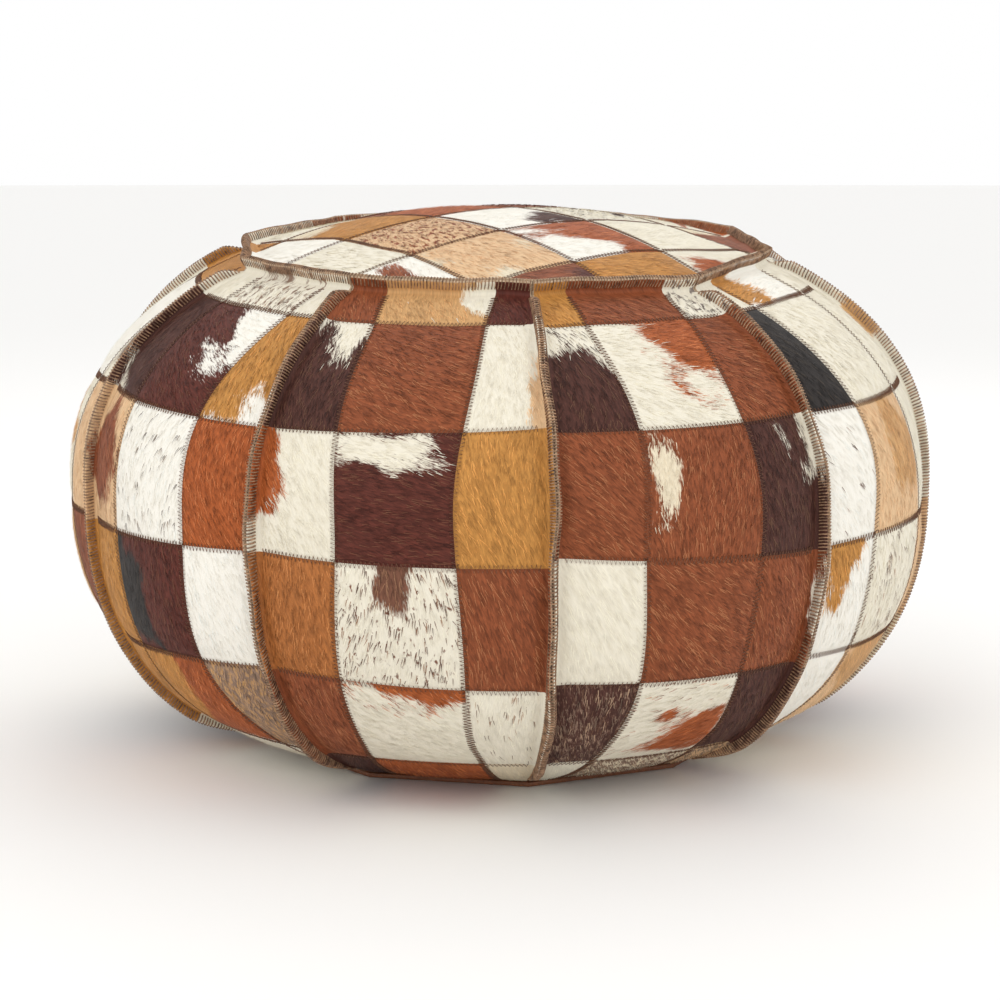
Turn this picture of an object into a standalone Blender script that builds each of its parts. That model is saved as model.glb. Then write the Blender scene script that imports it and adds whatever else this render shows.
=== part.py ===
"""Round floor pouf with a patchwork hide cover, in metres, +Z up, standing on z = 0.

Ten gores and a ten-sided top panel are joined by seams that stand outward, each bound
over its raw edges with thread. A leather base in two halves closes with a zip, through
which the stuffed inner bag goes in. The front of the pouf faces -Y.
"""

import math

import bmesh
import bpy

# Overall sizes
SEAM_RADIUS = 0.2905          # hair side of the cover, in the valley beside a seam, at the widest height
EQUATOR_HEIGHT = 0.183        # height of the widest ring above the floor
RIM_RADIUS = 0.186            # corner of the top seam, before its edges turn up
RIM_HEIGHT = 0.331
DOME_RISE = 0.026             # crown of the top panel above the rim
BASE_RADIUS = 0.172           # corner of the leather base
LEAN = 0.097                  # the settled top drops towards the front, metres per metre
UPPER_FULLNESS = 2.4          # exponents of the superellipse above and below the widest ring
LOWER_FULLNESS = 2.6
PUFF = 0.033                  # how far a gore swells between its seams, as a share of its radius
SWELL_POWER = 0.7             # how soon the swelling builds up from the two ends of a gore

# Pattern of the cover
GORE_COUNT = 10
FIRST_SEAM_DEG = 6.1          # the seam nearest the front, measured from -Y towards +X

# Hide, leather, thread and cloth
HIDE_THICKNESS = 0.003
SEAM_STAND = 0.009            # how far a sewn edge stands out of the hair side
SEAM_FADE_FOOT = 0.09         # share of a seam over which it rises at the foot
SEAM_FADE_RIM = 0.07          # and over which it dies away at the rim
RIM_STAND = 0.008
RIM_STAND_DEG = 62.0          # the top seam's edges lean outward at this angle above level
TURN_RADIUS = 0.0042          # flesh-side radius where an edge turns up
BINDING_THICKNESS = 0.0008
BINDING_EASE = 0.0006         # between the binding and the hide edges it is worn over
BINDING_SHORT = 0.0012        # the binding stops this far above the hair side
BINDING_FROM = 0.6            # a seam is bound where it stands higher than this share
BASE_THICKNESS = 0.003
BASE_LAP = 0.011              # width of the gores' turned-in foot on the base
FOOT_INSET = 0.002            # the gores turn in this far inside the base's corner
BAG_THICKNESS = 0.0008
BAG_MOUTH_RADIUS = 0.035
BAG_CORNER = 0.003            # the bag's floor stops this short of the cover
BAG_SLACK = 0.001             # between the bag and the cover
CROWN_FLAT = 0.4              # share of the innermost dome ring that the bag's crown keeps
GAP = 0.0003                  # between touching pieces

# Zip in the base
ZIP_LENGTH = 0.190            # run of the teeth
ZIP_SLOT_EXTRA = 0.030        # slot beyond the teeth at each end
ZIP_SLOT_MARGIN = 0.004       # least distance from the slot to the gores' foot
ZIP_SLOT_WIDTH = 0.013
HEM_SUNK = 0.002              # the hem is joined this deep into the base
HEM_HEIGHT = 0.009
HEM_THICKNESS = 0.003
TAPE_THICKNESS = 0.0008
TAPE_WIDTH = 0.012
TOOTH_PITCH = 0.004
TOOTH_DEPTH = 0.0014
TOOTH_SHARE = 0.5             # width of a tooth as a share of the pitch
TOOTH_TAPER = 0.1             # and how far each flank leans in
ROW_WIDTH = 0.0028
ROW_THICKNESS = 0.003
ROW_SLIT = 0.0016             # kept open between the rows for the slider's neck
STOP_LENGTH = 0.004
SLIDER_LENGTH = 0.014
SLIDER_WIDTH = 0.0108
SLIDER_PLATE = 0.0012
SLIDER_NECK = 0.0010
NECK_BACK = 0.5               # the neck's ends, as shares of the slider's half length
NECK_FRONT = 0.1
SLIDER_CLEARANCE = 0.0004
BRIDGE_DROP = 0.0034          # how far the puller's bridge hangs under the slider
BRIDGE_LENGTH = 0.0100
BRIDGE_WIDTH = 0.0022
BRIDGE_BAR = 0.0010
BRIDGE_POST = 0.0012
PULLER_LENGTH = 0.028
PULLER_WIDTH = 0.008
PULLER_THICKNESS = 0.0013
PULLER_PIN_RADIUS = 0.0006
PULLER_CHEEK = 0.0010
PULLER_SETBACK = 0.0012       # from the bridge to the puller's tab

# Fineness of the meshes
STATION_PITCH = 0.024         # longest run between two stations along a gore
DOME_RINGS = 5
TURN_STEPS = 3                # stations round a turned-up edge
STUB = 0.00012                # height of a seam edge where it has died away

GORE_DEG = 360.0 / GORE_COUNT
HALF_DEG = GORE_DEG / 2
GORE_ANGLES = (-HALF_DEG / 2, 0.0, HALF_DEG / 2)
FOOT_RADIUS = BASE_RADIUS - FOOT_INSET
FLOOR_OF_GORES = BASE_THICKNESS + GAP
ROW_MIDDLE = HEM_HEIGHT + GAP + TAPE_THICKNESS / 2
SLIDER_TOP = ROW_MIDDLE + ROW_THICKNESS / 2 + SLIDER_CLEARANCE + SLIDER_PLATE
BAG_FLOOR = SLIDER_TOP + GAP
SLIDER_START = -ZIP_LENGTH / 2 + SLIDER_LENGTH / 2 + GAP
SLIDER_BOTTOM = ROW_MIDDLE - ROW_THICKNESS / 2 - SLIDER_CLEARANCE - SLIDER_PLATE
PIN_HEIGHT = SLIDER_BOTTOM - (BRIDGE_DROP - BRIDGE_BAR) / 2

COLLECTION_NAME = "hide_pouf"
HIDE_COLOURS = {
    "ivory": (0.78, 0.73, 0.62),
    "camel": (0.53, 0.26, 0.08),
    "chestnut": (0.25, 0.07, 0.025),
    "dark_brown": (0.07, 0.022, 0.015),
}


# ---------------------------------------------------------------- collections and materials

def empty_the_scene():
    """Removes what a new file starts with."""
    for thing in list(bpy.data.objects):
        bpy.data.objects.remove(thing, do_unlink=True)


def new_collection(name):
    """A collection linked to the scene."""
    group = bpy.data.collections.new(name)
    bpy.context.scene.collection.children.link(group)
    return group


def material(name, colour, roughness, metallic=0.0):
    """A plain Principled material."""
    made = bpy.data.materials.new(name)
    made.use_nodes = True
    shader = made.node_tree.nodes["Principled BSDF"]
    shader.inputs["Base Color"].default_value = (*colour, 1.0)
    shader.inputs["Roughness"].default_value = roughness
    shader.inputs["Metallic"].default_value = metallic
    return made


def add_object(name, mesh, group, finish):
    """Links a mesh as one named object wearing one material."""
    thing = bpy.data.objects.new(name, mesh)
    mesh.materials.clear()
    mesh.materials.append(finish)
    group.objects.link(thing)
    return thing


# ---------------------------------------------------------------- the outline of the body

def smooth_step(value):
    """Eases 0..1, and holds outside it."""
    x = min(max(value, 0.0), 1.0)
    return x * x * (3.0 - 2.0 * x)


def arc_reach(end_radius, end_height, widest, power):
    """Half height of the superellipse through (widest, 0) and (end_radius, end_height)."""
    return end_height / (1.0 - (end_radius / widest) ** power) ** (1.0 / power)


def superellipse(end_radius, end_height, widest, power):
    """Points (radius, height) evenly spaced from the widest ring to the end, the first left out."""
    reach = arc_reach(end_radius, end_height, widest, power)
    fine = []
    for i in range(401):
        height = end_height * i / 400
        fine.append((widest * (1.0 - (height / reach) ** power) ** (1.0 / power), height))
    lengths = [0.0]
    for a, b in zip(fine, fine[1:]):
        lengths.append(lengths[-1] + math.dist(a, b))
    count = math.ceil(lengths[-1] / STATION_PITCH)
    points = []
    for k in range(1, count + 1):
        wanted = lengths[-1] * k / count
        i = max(j for j in range(len(lengths)) if lengths[j] <= wanted + 1e-12)
        i = min(i, len(fine) - 2)
        share = (wanted - lengths[i]) / (lengths[i + 1] - lengths[i])
        points.append(tuple(p + (q - p) * share for p, q in zip(fine[i], fine[i + 1])))
    return points


class Station:
    """One place along a gore: its flesh line, its outward direction, swell and seam height."""

    def __init__(self, radius, height):
        self.radius = radius
        self.height = height
        self.out = (1.0, 0.0)
        self.swell = 0.0
        self.stand = STUB

    def at(self, offset):
        """(radius, height) this far outside the flesh line, in the plane of a seam."""
        return self.radius + offset * self.out[0], self.height + offset * self.out[1]


def facing(heading_deg):
    """The outward direction of a line that runs this way, which is to its right."""
    heading = math.radians(heading_deg)
    return math.sin(heading), -math.cos(heading)


def turn_points(corner, start_deg, end_deg, radius, steps):
    """Points round a turn that leaves the corner in the direction start_deg, ending at end_deg."""
    left_turn = end_deg > start_deg
    side = 90.0 if left_turn else -90.0
    start = math.radians(start_deg + side)
    centre = (corner[0] + radius * math.cos(start), corner[1] + radius * math.sin(start))
    points = []
    for i in range(1, steps + 1):
        angle = math.radians(start_deg + (end_deg - start_deg) * i / steps - side)
        points.append((centre[0] + radius * math.cos(angle), centre[1] + radius * math.sin(angle)))
    return points


def set_directions(stations):
    """Gives each station the outward direction of the line through its neighbours."""
    for i, station in enumerate(stations):
        before = stations[max(i - 1, 0)]
        after = stations[min(i + 1, len(stations) - 1)]
        run = (after.radius - before.radius, after.height - before.height)
        length = math.hypot(*run)
        station.out = (run[1] / length, -run[0] / length)


def flesh_widest():
    """Radius of the flesh side at the widest ring, beside a seam."""
    return SEAM_RADIUS - HIDE_THICKNESS


def gore_stations():
    """The line of a gore from its turned-in foot on the base to the tip of the top seam."""
    foot_height = FLOOR_OF_GORES + HIDE_THICKNESS
    below, above = EQUATOR_HEIGHT - foot_height, RIM_HEIGHT - EQUATOR_HEIGHT
    lower = superellipse(FOOT_RADIUS, below, flesh_widest(), LOWER_FULLNESS)
    upper = superellipse(RIM_RADIUS, above, flesh_widest(), UPPER_FULLNESS)
    wall = [Station(r, EQUATOR_HEIGHT - h) for r, h in reversed(lower)]
    wall.append(Station(flesh_widest(), EQUATOR_HEIGHT))
    wall += [Station(r, EQUATOR_HEIGHT + h) for r, h in upper]
    rise = (wall[-1].radius - wall[-2].radius, wall[-1].height - wall[-2].height)
    arriving = math.degrees(math.atan2(rise[1], rise[0]))
    corner = (wall[-1].radius, wall[-1].height)
    turn = turn_points(corner, arriving, RIM_STAND_DEG, TURN_RADIUS, TURN_STEPS)
    stand = math.radians(RIM_STAND_DEG)
    tip = (turn[-1][0] + RIM_STAND * math.cos(stand), turn[-1][1] + RIM_STAND * math.sin(stand))
    foot = [Station(FOOT_RADIUS - BASE_LAP, foot_height)]
    stations = foot + wall + [Station(*p) for p in turn] + [Station(*tip)]
    set_directions(stations)
    stations[0].out = (0.0, -1.0)
    stations[1].out = (0.0, -1.0)
    wall[-1].out = facing(arriving)
    for i, station in enumerate(stations[-TURN_STEPS - 1 : -1], 1):
        station.out = facing(arriving + (RIM_STAND_DEG - arriving) * i / TURN_STEPS)
    stations[-1].out = facing(RIM_STAND_DEG)
    for i, station in enumerate(wall):
        share = i / (len(wall) - 1)
        station.swell = math.sin(math.pi * share) ** SWELL_POWER
        dying = min(smooth_step(share / SEAM_FADE_FOOT), smooth_step((1.0 - share) / SEAM_FADE_RIM))
        station.stand = STUB + (SEAM_STAND - STUB) * dying
    return stations


def rim_tip(stations):
    """Flesh-side tip of the top seam, as (radius, height)."""
    return stations[-1].radius, stations[-1].height


def lean_height(x, y, z):
    """Height of a point after the top has settled towards the front."""
    share = min(max((z - EQUATOR_HEIGHT) / (RIM_HEIGHT - EQUATOR_HEIGHT), 0.0), 1.0)
    return z + LEAN * y * share


def across(angle_deg, swell):
    """Radius factor between two seams: a straight chord at swell 0, a swollen arc at swell 1."""
    chord = math.cos(math.radians(HALF_DEG)) / math.cos(math.radians(angle_deg))
    arc = 1.0 + PUFF * (1.0 - (angle_deg / HALF_DEG) ** 2)
    return chord + (arc - chord) * swell


def wrap(radius, height, gore, angle_deg, swell, inset=0.0):
    """World point at an angle from a gore's middle. inset keeps it this far off the seam's plane."""
    angle_deg -= math.copysign(math.degrees(math.asin(inset / radius)), angle_deg)
    azimuth = math.radians(FIRST_SEAM_DEG + (gore + 0.5) * GORE_DEG + angle_deg)
    reach = radius * across(angle_deg, swell)
    x, y = reach * math.sin(azimuth), -reach * math.cos(azimuth)
    return x, y, lean_height(x, y, height)


# ---------------------------------------------------------------- mesh makers

def mesh_of(name, points, faces, smooth_deg=40.0):
    """A closed mesh with its faces pointing out, smooth where it is rounded."""
    work = bmesh.new()
    verts = [work.verts.new(p) for p in points]
    for face in faces:
        work.faces.new([verts[i] for i in face])
    bmesh.ops.recalc_face_normals(work, faces=work.faces)
    mesh = bpy.data.meshes.new(name)
    work.to_mesh(mesh)
    work.free()
    mesh.shade_smooth()
    mesh.set_sharp_from_angle(angle=math.radians(smooth_deg))
    return mesh


def lofted_strip(name, rings):
    """A loft through closed rings. Each ring lists one side, then the other side backwards."""
    count = len(rings[0])
    half = count // 2
    points = [p for ring in rings for p in ring]
    faces = []
    for k in range(len(rings) - 1):
        for i in range(count):
            j = (i + 1) % count
            a, b = k * count, (k + 1) * count
            faces.append((a + i, a + j, b + j, b + i))
    for base in (0, (len(rings) - 1) * count):
        for i in range(half - 1):
            faces.append((base + i, base + i + 1, base + count - 2 - i, base + count - 1 - i))
    return mesh_of(name, points, faces)


def turned_ring(rings, k):
    """The points of ring k of a body that is wrapped round the axis."""
    radius, height, swell = rings[k]
    angles = (-HALF_DEG,) + GORE_ANGLES
    return [wrap(radius, height, g, a, swell) for g in range(GORE_COUNT) for a in angles]


def join_rings(faces, first, second, count):
    """Adds the faces between two rings that start at these point numbers."""
    for i in range(count):
        j = (i + 1) % count
        faces.append((first + i, first + j, second + j, second + i))


def wrapped_body(name, rings, inner=None):
    """A body wrapped round the axis, solid with a cap at each end, or a bag open at its first ring."""
    count = GORE_COUNT * (len(GORE_ANGLES) + 1)
    points, faces = [], []
    starts = []
    for k in range(len(rings)):
        starts.append(len(points))
        points += turned_ring(rings, k)
    for a, b in zip(starts, starts[1:]):
        join_rings(faces, a, b, count)
    top = len(points)
    points.append((0.0, 0.0, lean_height(0.0, 0.0, rings[-1][1])))
    faces += [(starts[-1] + i, starts[-1] + (i + 1) % count, top) for i in range(count)]
    if inner is None:
        bottom = len(points)
        points.append((0.0, 0.0, rings[0][1]))
        faces += [(starts[0] + i, starts[0] + (i + 1) % count, bottom) for i in range(count)]
        return mesh_of(name, points, faces)
    inside = []
    for k in range(len(inner)):
        inside.append(len(points))
        points += turned_ring(inner, k)
    for a, b in zip(inside, inside[1:]):
        join_rings(faces, a, b, count)
    under = len(points)
    points.append((0.0, 0.0, lean_height(0.0, 0.0, inner[-1][1])))
    faces += [(inside[-1] + i, inside[-1] + (i + 1) % count, under) for i in range(count)]
    join_rings(faces, starts[0], inside[0], count)
    return mesh_of(name, points, faces)


def turned_panel(name, profile, closed, group, finish):
    """A profile turned in ten straight-sided steps, its corners on the seams, then settled."""
    mesh = bpy.data.meshes.new(name)
    edges = [(i, i + 1) for i in range(len(profile) - 1)]
    if closed:
        edges.append((len(profile) - 1, 0))
    mesh.from_pydata([(r, 0.0, z) for r, z in profile], edges, [])
    thing = add_object(name, mesh, group, finish)
    screw = thing.modifiers.new("turn", "SCREW")
    screw.steps = GORE_COUNT
    screw.render_steps = GORE_COUNT
    screw.use_merge_vertices = True
    screw.merge_threshold = 0.00001
    screw.use_smooth_shade = False
    thing.rotation_euler.z = math.radians(FIRST_SEAM_DEG - 90.0)
    bpy.context.view_layer.update()
    settled = bpy.data.meshes.new_from_object(thing.evaluated_get(bpy.context.evaluated_depsgraph_get()))
    settled.transform(thing.matrix_world)
    work = bmesh.new()
    work.from_mesh(settled)
    for vert in work.verts:
        vert.co.z = lean_height(*vert.co)
    bmesh.ops.recalc_face_normals(work, faces=work.faces)
    work.to_mesh(settled)
    work.free()
    thing.modifiers.clear()
    thing.rotation_euler.z = 0.0
    thing.data = settled
    bpy.data.meshes.remove(mesh)
    settled.name = name
    return thing


def box_mesh(name, low, high):
    """A box between two corners, from a primitive cube."""
    work = bmesh.new()
    bmesh.ops.create_cube(work, size=1.0)
    for vert in work.verts:
        vert.co = [lo + (hi - lo) * (c + 0.5) for lo, hi, c in zip(low, high, vert.co)]
    mesh = bpy.data.meshes.new(name)
    work.to_mesh(mesh)
    work.free()
    return mesh


def extruded_outline(name, outline, low, high):
    """A flat outline given as (x, y), raised from low to high."""
    work = bmesh.new()
    face = work.faces.new([work.verts.new((x, y, low)) for x, y in outline])
    raised = bmesh.ops.extrude_face_region(work, geom=[face])["geom"]
    for vert in (v for v in raised if isinstance(v, bmesh.types.BMVert)):
        vert.co.z = high
    bmesh.ops.recalc_face_normals(work, faces=work.faces)
    mesh = bpy.data.meshes.new(name)
    work.to_mesh(mesh)
    work.free()
    return mesh


def joined_boxes(name, boxes, group, tools, finish):
    """One body joined from overlapping boxes, each given as (low corner, high corner)."""
    thing = add_object(name, box_mesh(name, *boxes[0]), group, finish)
    for i, (low, high) in enumerate(boxes[1:], 1):
        join_to(thing, box_mesh(f"{name}_tool_{i}", low, high), tools)
    return thing


def join_to(thing, mesh, tools):
    """Joins a mesh to an object with an exact Boolean union, its tool kept out of sight."""
    tool = bpy.data.objects.new(mesh.name, mesh)
    tools.objects.link(tool)
    tool.hide_render = True
    tool.display_type = "WIRE"
    union = thing.modifiers.new("join", "BOOLEAN")
    union.operation = "UNION"
    union.solver = "EXACT"
    union.object = tool


# ---------------------------------------------------------------- the cover

def gore_ring(station, gore):
    """One section of a gore: hair side with its two standing edges, then flesh side backwards."""
    near = GAP / 2
    far = near + HIDE_THICKNESS
    base_hair = station.at(HIDE_THICKNESS)
    tip = station.at(HIDE_THICKNESS + station.stand)
    flesh = station.at(0.0)

    def place(line, angle, inset=0.0):
        return wrap(line[0], line[1], gore, angle, station.swell, inset)

    left, right = -HALF_DEG, HALF_DEG
    hair = [place(tip, left, far), place(base_hair, left, far)]
    hair += [place(base_hair, a) for a in GORE_ANGLES]
    hair += [place(base_hair, right, far), place(tip, right, far)]
    back = [place(tip, left, near), place(flesh, left, near)]
    back += [place(flesh, a) for a in GORE_ANGLES]
    back += [place(flesh, right, near), place(tip, right, near)]
    return hair + back[::-1]


def make_gores(stations, group, hides):
    """The ten patchwork gores, whose long edges stand out along the seams."""
    for gore in range(GORE_COUNT):
        name = f"gore_panel_{gore + 1:02d}"
        mesh = lofted_strip(name, [gore_ring(s, gore) for s in stations])
        add_object(name, mesh, group, hides[gore % len(hides)])


def binding_ring(station, seam):
    """One section of the thread binding, a channel worn over the two edges of a seam."""
    inner = GAP / 2 + HIDE_THICKNESS + BINDING_EASE
    outer = inner + BINDING_THICKNESS
    low = station.at(HIDE_THICKNESS + BINDING_SHORT)
    under_tip = station.at(HIDE_THICKNESS + station.stand + BINDING_EASE)
    tip = station.at(HIDE_THICKNESS + station.stand + BINDING_EASE + BINDING_THICKNESS)
    left_gore = (seam - 1) % GORE_COUNT

    def place(line, inset):
        if inset < 0:
            return wrap(line[0], line[1], left_gore, HALF_DEG, station.swell, -inset)
        return wrap(line[0], line[1], seam, -HALF_DEG, station.swell, inset)

    outside = [place(low, -outer), place(tip, -outer), place(tip, outer), place(low, outer)]
    inside = [place(low, -inner), place(under_tip, -inner), place(under_tip, inner), place(low, inner)]
    return outside + inside[::-1]


def make_gore_seams(stations, group, finish):
    """The thread binding of each seam between two gores."""
    worn = [s for s in stations if s.stand > SEAM_STAND * BINDING_FROM]
    for seam in range(GORE_COUNT):
        name = f"gore_seam_{seam + 1:02d}"
        add_object(name, lofted_strip(name, [binding_ring(s, seam) for s in worn]), group, finish)


def dome_line(radius, height):
    """Flesh line of the top panel, from its middle to where its edge turns up."""
    points = []
    for i in range(DOME_RINGS + 1):
        share = i / DOME_RINGS
        points.append((radius * share, height + DOME_RISE * (1.0 - share ** 2)))
    return points


def offset_line(points, offset):
    """The line moved to its left by this much, mitred at each point."""
    moved = []
    for i, point in enumerate(points):
        before, after = points[max(i - 1, 0)], points[min(i + 1, len(points) - 1)]
        run = (after[0] - before[0], after[1] - before[1])
        length = math.hypot(*run)
        moved.append((point[0] - offset * run[1] / length, point[1] + offset * run[0] / length))
    return moved


def top_flesh_line(stations):
    """Flesh line of the top panel from its middle, out and up to the tip of the top seam."""
    stand = math.radians(RIM_STAND_DEG)
    back = GAP / math.cos(math.radians(HALF_DEG))
    tip = rim_tip(stations)
    tip = (tip[0] - back * math.sin(stand), tip[1] + back * math.cos(stand))
    foot = (tip[0] - RIM_STAND * math.cos(stand), tip[1] - RIM_STAND * math.sin(stand))
    slope = -math.degrees(math.atan2(2.0 * DOME_RISE, RIM_RADIUS))
    turned = turn_points((0.0, 0.0), slope, RIM_STAND_DEG, TURN_RADIUS, TURN_STEPS)
    corner = (foot[0] - turned[-1][0], foot[1] - turned[-1][1])
    turn = [(corner[0] + r, corner[1] + z) for r, z in turned]
    return dome_line(*corner) + turn + [tip]


def make_top(stations, group, hide, thread):
    """The ten-sided top panel with its edge turned up, and the binding of the top seam."""
    flesh = top_flesh_line(stations)
    hair = offset_line(flesh, HIDE_THICKNESS)
    hair[0] = (0.0, flesh[0][1] + HIDE_THICKNESS)
    turned_panel("top_panel", hair + flesh[::-1], False, group, hide)

    stand = math.radians(RIM_STAND_DEG)
    tip = rim_tip(stations)
    scale = 1.0 / math.cos(math.radians(HALF_DEG))
    inner = (HIDE_THICKNESS + GAP) * scale
    outer = inner + BINDING_THICKNESS
    low = -(RIM_STAND - BINDING_SHORT)
    under, over = GAP, GAP + BINDING_THICKNESS
    corners = [(low, outer), (low, inner), (under, inner), (under, -inner)]
    corners += [(low, -inner), (low, -outer), (over, -outer), (over, outer)]
    profile = []
    for along, side in corners:
        side -= GAP / 2
        r = tip[0] + along * math.cos(stand) + side * math.sin(stand)
        z = tip[1] + along * math.sin(stand) - side * math.cos(stand)
        profile.append((r, z))
    turned_panel("top_rim_seam", profile, True, group, thread)


def slot_reach():
    """Half length of the slot in the base, held clear of the gores' turned-in foot."""
    foot = (FOOT_RADIUS - BASE_LAP) * math.cos(math.radians(HALF_DEG))
    return min(ZIP_LENGTH / 2 + ZIP_SLOT_EXTRA, foot - ZIP_SLOT_MARGIN)


def base_outline(side):
    """Half of the ten-sided base in plan, on the side +1 (back) or -1 (front) of the zip."""
    corners = []
    for k in range(GORE_COUNT):
        azimuth = math.radians(FIRST_SEAM_DEG + k * GORE_DEG)
        corners.append((BASE_RADIUS * math.sin(azimuth), -BASE_RADIUS * math.cos(azimuth)))
    edge = GAP / 2
    kept = []
    for a, b in zip(corners, corners[1:] + corners[:1]):
        if a[1] * side > edge:
            kept.append(a)
        if (a[1] * side - edge) * (b[1] * side - edge) < 0:
            share = (edge * side - a[1]) / (b[1] - a[1])
            kept.append((a[0] + (b[0] - a[0]) * share, edge * side))
    ends = [i for i, p in enumerate(kept) if abs(p[1] - edge * side) < 1e-9]
    start = ends[1] if (ends[1] - ends[0]) > 1 else ends[0]
    ordered = kept[start:] + kept[:start]
    if abs(ordered[1][1] - edge * side) < 1e-9:
        ordered = ordered[1:] + ordered[:1]
    last = ordered[-1]
    slot_x = slot_reach()
    slot_y = side * ZIP_SLOT_WIDTH / 2
    toward = math.copysign(1.0, last[0])
    notch = [
        (toward * slot_x, edge * side),
        (toward * slot_x, slot_y),
        (-toward * slot_x, slot_y),
        (-toward * slot_x, edge * side),
    ]
    return ordered + notch


def make_base(group, tools, leather):
    """The leather base in two halves, each with a hem turned up beside the zip."""
    slot_x = slot_reach()
    for name, side in (("base_panel_front", -1), ("base_panel_back", 1)):
        mesh = extruded_outline(name, base_outline(side), 0.0, BASE_THICKNESS)
        thing = add_object(name, mesh, group, leather)
        near = side * ZIP_SLOT_WIDTH / 2
        far = near + side * HEM_THICKNESS
        low = (-slot_x, min(near, far), BASE_THICKNESS - HEM_SUNK)
        high = (slot_x, max(near, far), HEM_HEIGHT)
        join_to(thing, box_mesh(f"{name}_hem", low, high), tools)


# ---------------------------------------------------------------- the zip

def tooth_row_outline(side):
    """A row of teeth in plan. The two rows are half a pitch apart."""
    back = side * (ROW_SLIT / 2 + ROW_WIDTH)
    root = side * (ROW_SLIT / 2 + TOOTH_DEPTH)
    face = side * ROW_SLIT / 2
    shift = 0.0 if side > 0 else TOOTH_PITCH / 2
    count = int((ZIP_LENGTH - TOOTH_PITCH) / TOOTH_PITCH)
    start = -count * TOOTH_PITCH / 2 + shift - TOOTH_PITCH / 4
    outline = [(-ZIP_LENGTH / 2, back), (-ZIP_LENGTH / 2, root)]
    for k in range(count):
        left = start + k * TOOTH_PITCH
        right = left + TOOTH_PITCH * TOOTH_SHARE
        taper = TOOTH_PITCH * TOOTH_TAPER
        outline += [(left, root), (left + taper, face), (right - taper, face), (right, root)]
    outline += [(ZIP_LENGTH / 2, root), (ZIP_LENGTH / 2, back)]
    return outline


def make_zip(group, tools, cloth, brass):
    """Tapes, tooth rows and stops, with the slider and the puller parented to it."""
    low, high = ROW_MIDDLE - ROW_THICKNESS / 2, ROW_MIDDLE + ROW_THICKNESS / 2
    reach = (ZIP_LENGTH / 2 + slot_reach()) / 2
    tape_edge = ROW_SLIT / 2 + ROW_WIDTH + GAP
    for word, side in (("front", -1), ("back", 1)):
        near, far = side * tape_edge, side * (tape_edge + TAPE_WIDTH)
        tape_low = (-reach, min(near, far), HEM_HEIGHT + GAP)
        tape_high = (reach, max(near, far), HEM_HEIGHT + GAP + TAPE_THICKNESS)
        name = f"zip_tape_{word}"
        add_object(name, box_mesh(name, tape_low, tape_high), group, cloth)
        name = f"zip_teeth_{word}"
        add_object(name, extruded_outline(name, tooth_row_outline(side), low, high), group, brass)
    width = ROW_SLIT / 2 + ROW_WIDTH
    for word, toward in (("closed", -1), ("open", 1)):
        near = toward * (ZIP_LENGTH / 2 + GAP)
        far = near + toward * STOP_LENGTH
        name = f"zip_stop_{word}"
        stop = box_mesh(name, (min(near, far), -width, low), (max(near, far), width, high))
        add_object(name, stop, group, brass)
    make_slider(group, tools, brass)


def make_slider(group, tools, brass):
    """The slider at the closed end, with the puller's bridge under it, and the puller."""
    runner = bpy.data.objects.new("slider_axis", None)
    runner.location = (SLIDER_START, 0.0, 0.0)
    group.objects.link(runner)
    half, wide = SLIDER_LENGTH / 2, SLIDER_WIDTH / 2
    low_top = SLIDER_BOTTOM + SLIDER_PLATE
    high_low = SLIDER_TOP - SLIDER_PLATE
    neck = SLIDER_NECK / 2
    bridge_low = SLIDER_BOTTOM - BRIDGE_DROP
    foot = BRIDGE_LENGTH / 2
    post = BRIDGE_POST
    side = BRIDGE_WIDTH / 2
    sunk = SLIDER_PLATE / 2
    boxes = [
        ((-half, -wide, SLIDER_BOTTOM), (half, wide, low_top)),
        ((-half * NECK_BACK, -neck, low_top - sunk), (half * NECK_FRONT, neck, high_low + sunk)),
        ((-half, -wide, high_low), (half, wide, SLIDER_TOP)),
        ((-foot, -side, bridge_low), (-foot + post, side, SLIDER_BOTTOM + sunk)),
        ((foot - post, -side, bridge_low), (foot, side, SLIDER_BOTTOM + sunk)),
        ((-foot + post / 2, -side, bridge_low), (foot - post / 2, side, bridge_low + BRIDGE_BAR)),
    ]
    slider = joined_boxes("zip_slider", boxes, group, tools, brass)
    slider.parent = runner
    for union in slider.modifiers:
        union.object.parent = runner

    hinge = bpy.data.objects.new("puller_axis", None)
    hinge.location = (0.0, 0.0, PIN_HEIGHT)
    hinge.parent = runner
    group.objects.link(hinge)
    cheek_in = BRIDGE_WIDTH / 2 + GAP
    cheek_out = cheek_in + PULLER_CHEEK
    thick = PULLER_THICKNESS / 2
    tab_start = BRIDGE_LENGTH / 2 + PULLER_SETBACK
    tip = PULLER_LENGTH
    pin = PULLER_PIN_RADIUS
    boxes = [
        ((tab_start, -PULLER_WIDTH / 2, -thick), (tip, PULLER_WIDTH / 2, thick)),
        ((-pin, cheek_in, -thick), (tab_start + thick, cheek_out, thick)),
        ((-pin, -cheek_out, -thick), (tab_start + thick, -cheek_in, thick)),
    ]
    puller = joined_boxes("zip_puller", boxes, group, tools, brass)
    puller.parent = hinge
    work = bmesh.new()
    length = 2.0 * (cheek_in + PULLER_CHEEK / 2)
    bmesh.ops.create_cone(work, cap_ends=True, segments=12, radius1=pin, radius2=pin, depth=length)
    for vert in work.verts:
        vert.co = (vert.co.x, vert.co.z, -vert.co.y)
    mesh = bpy.data.meshes.new("zip_puller_pin")
    work.to_mesh(mesh)
    work.free()
    join_to(puller, mesh, tools)
    for union in puller.modifiers:
        union.object.parent = hinge


# ---------------------------------------------------------------- the inside

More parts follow.
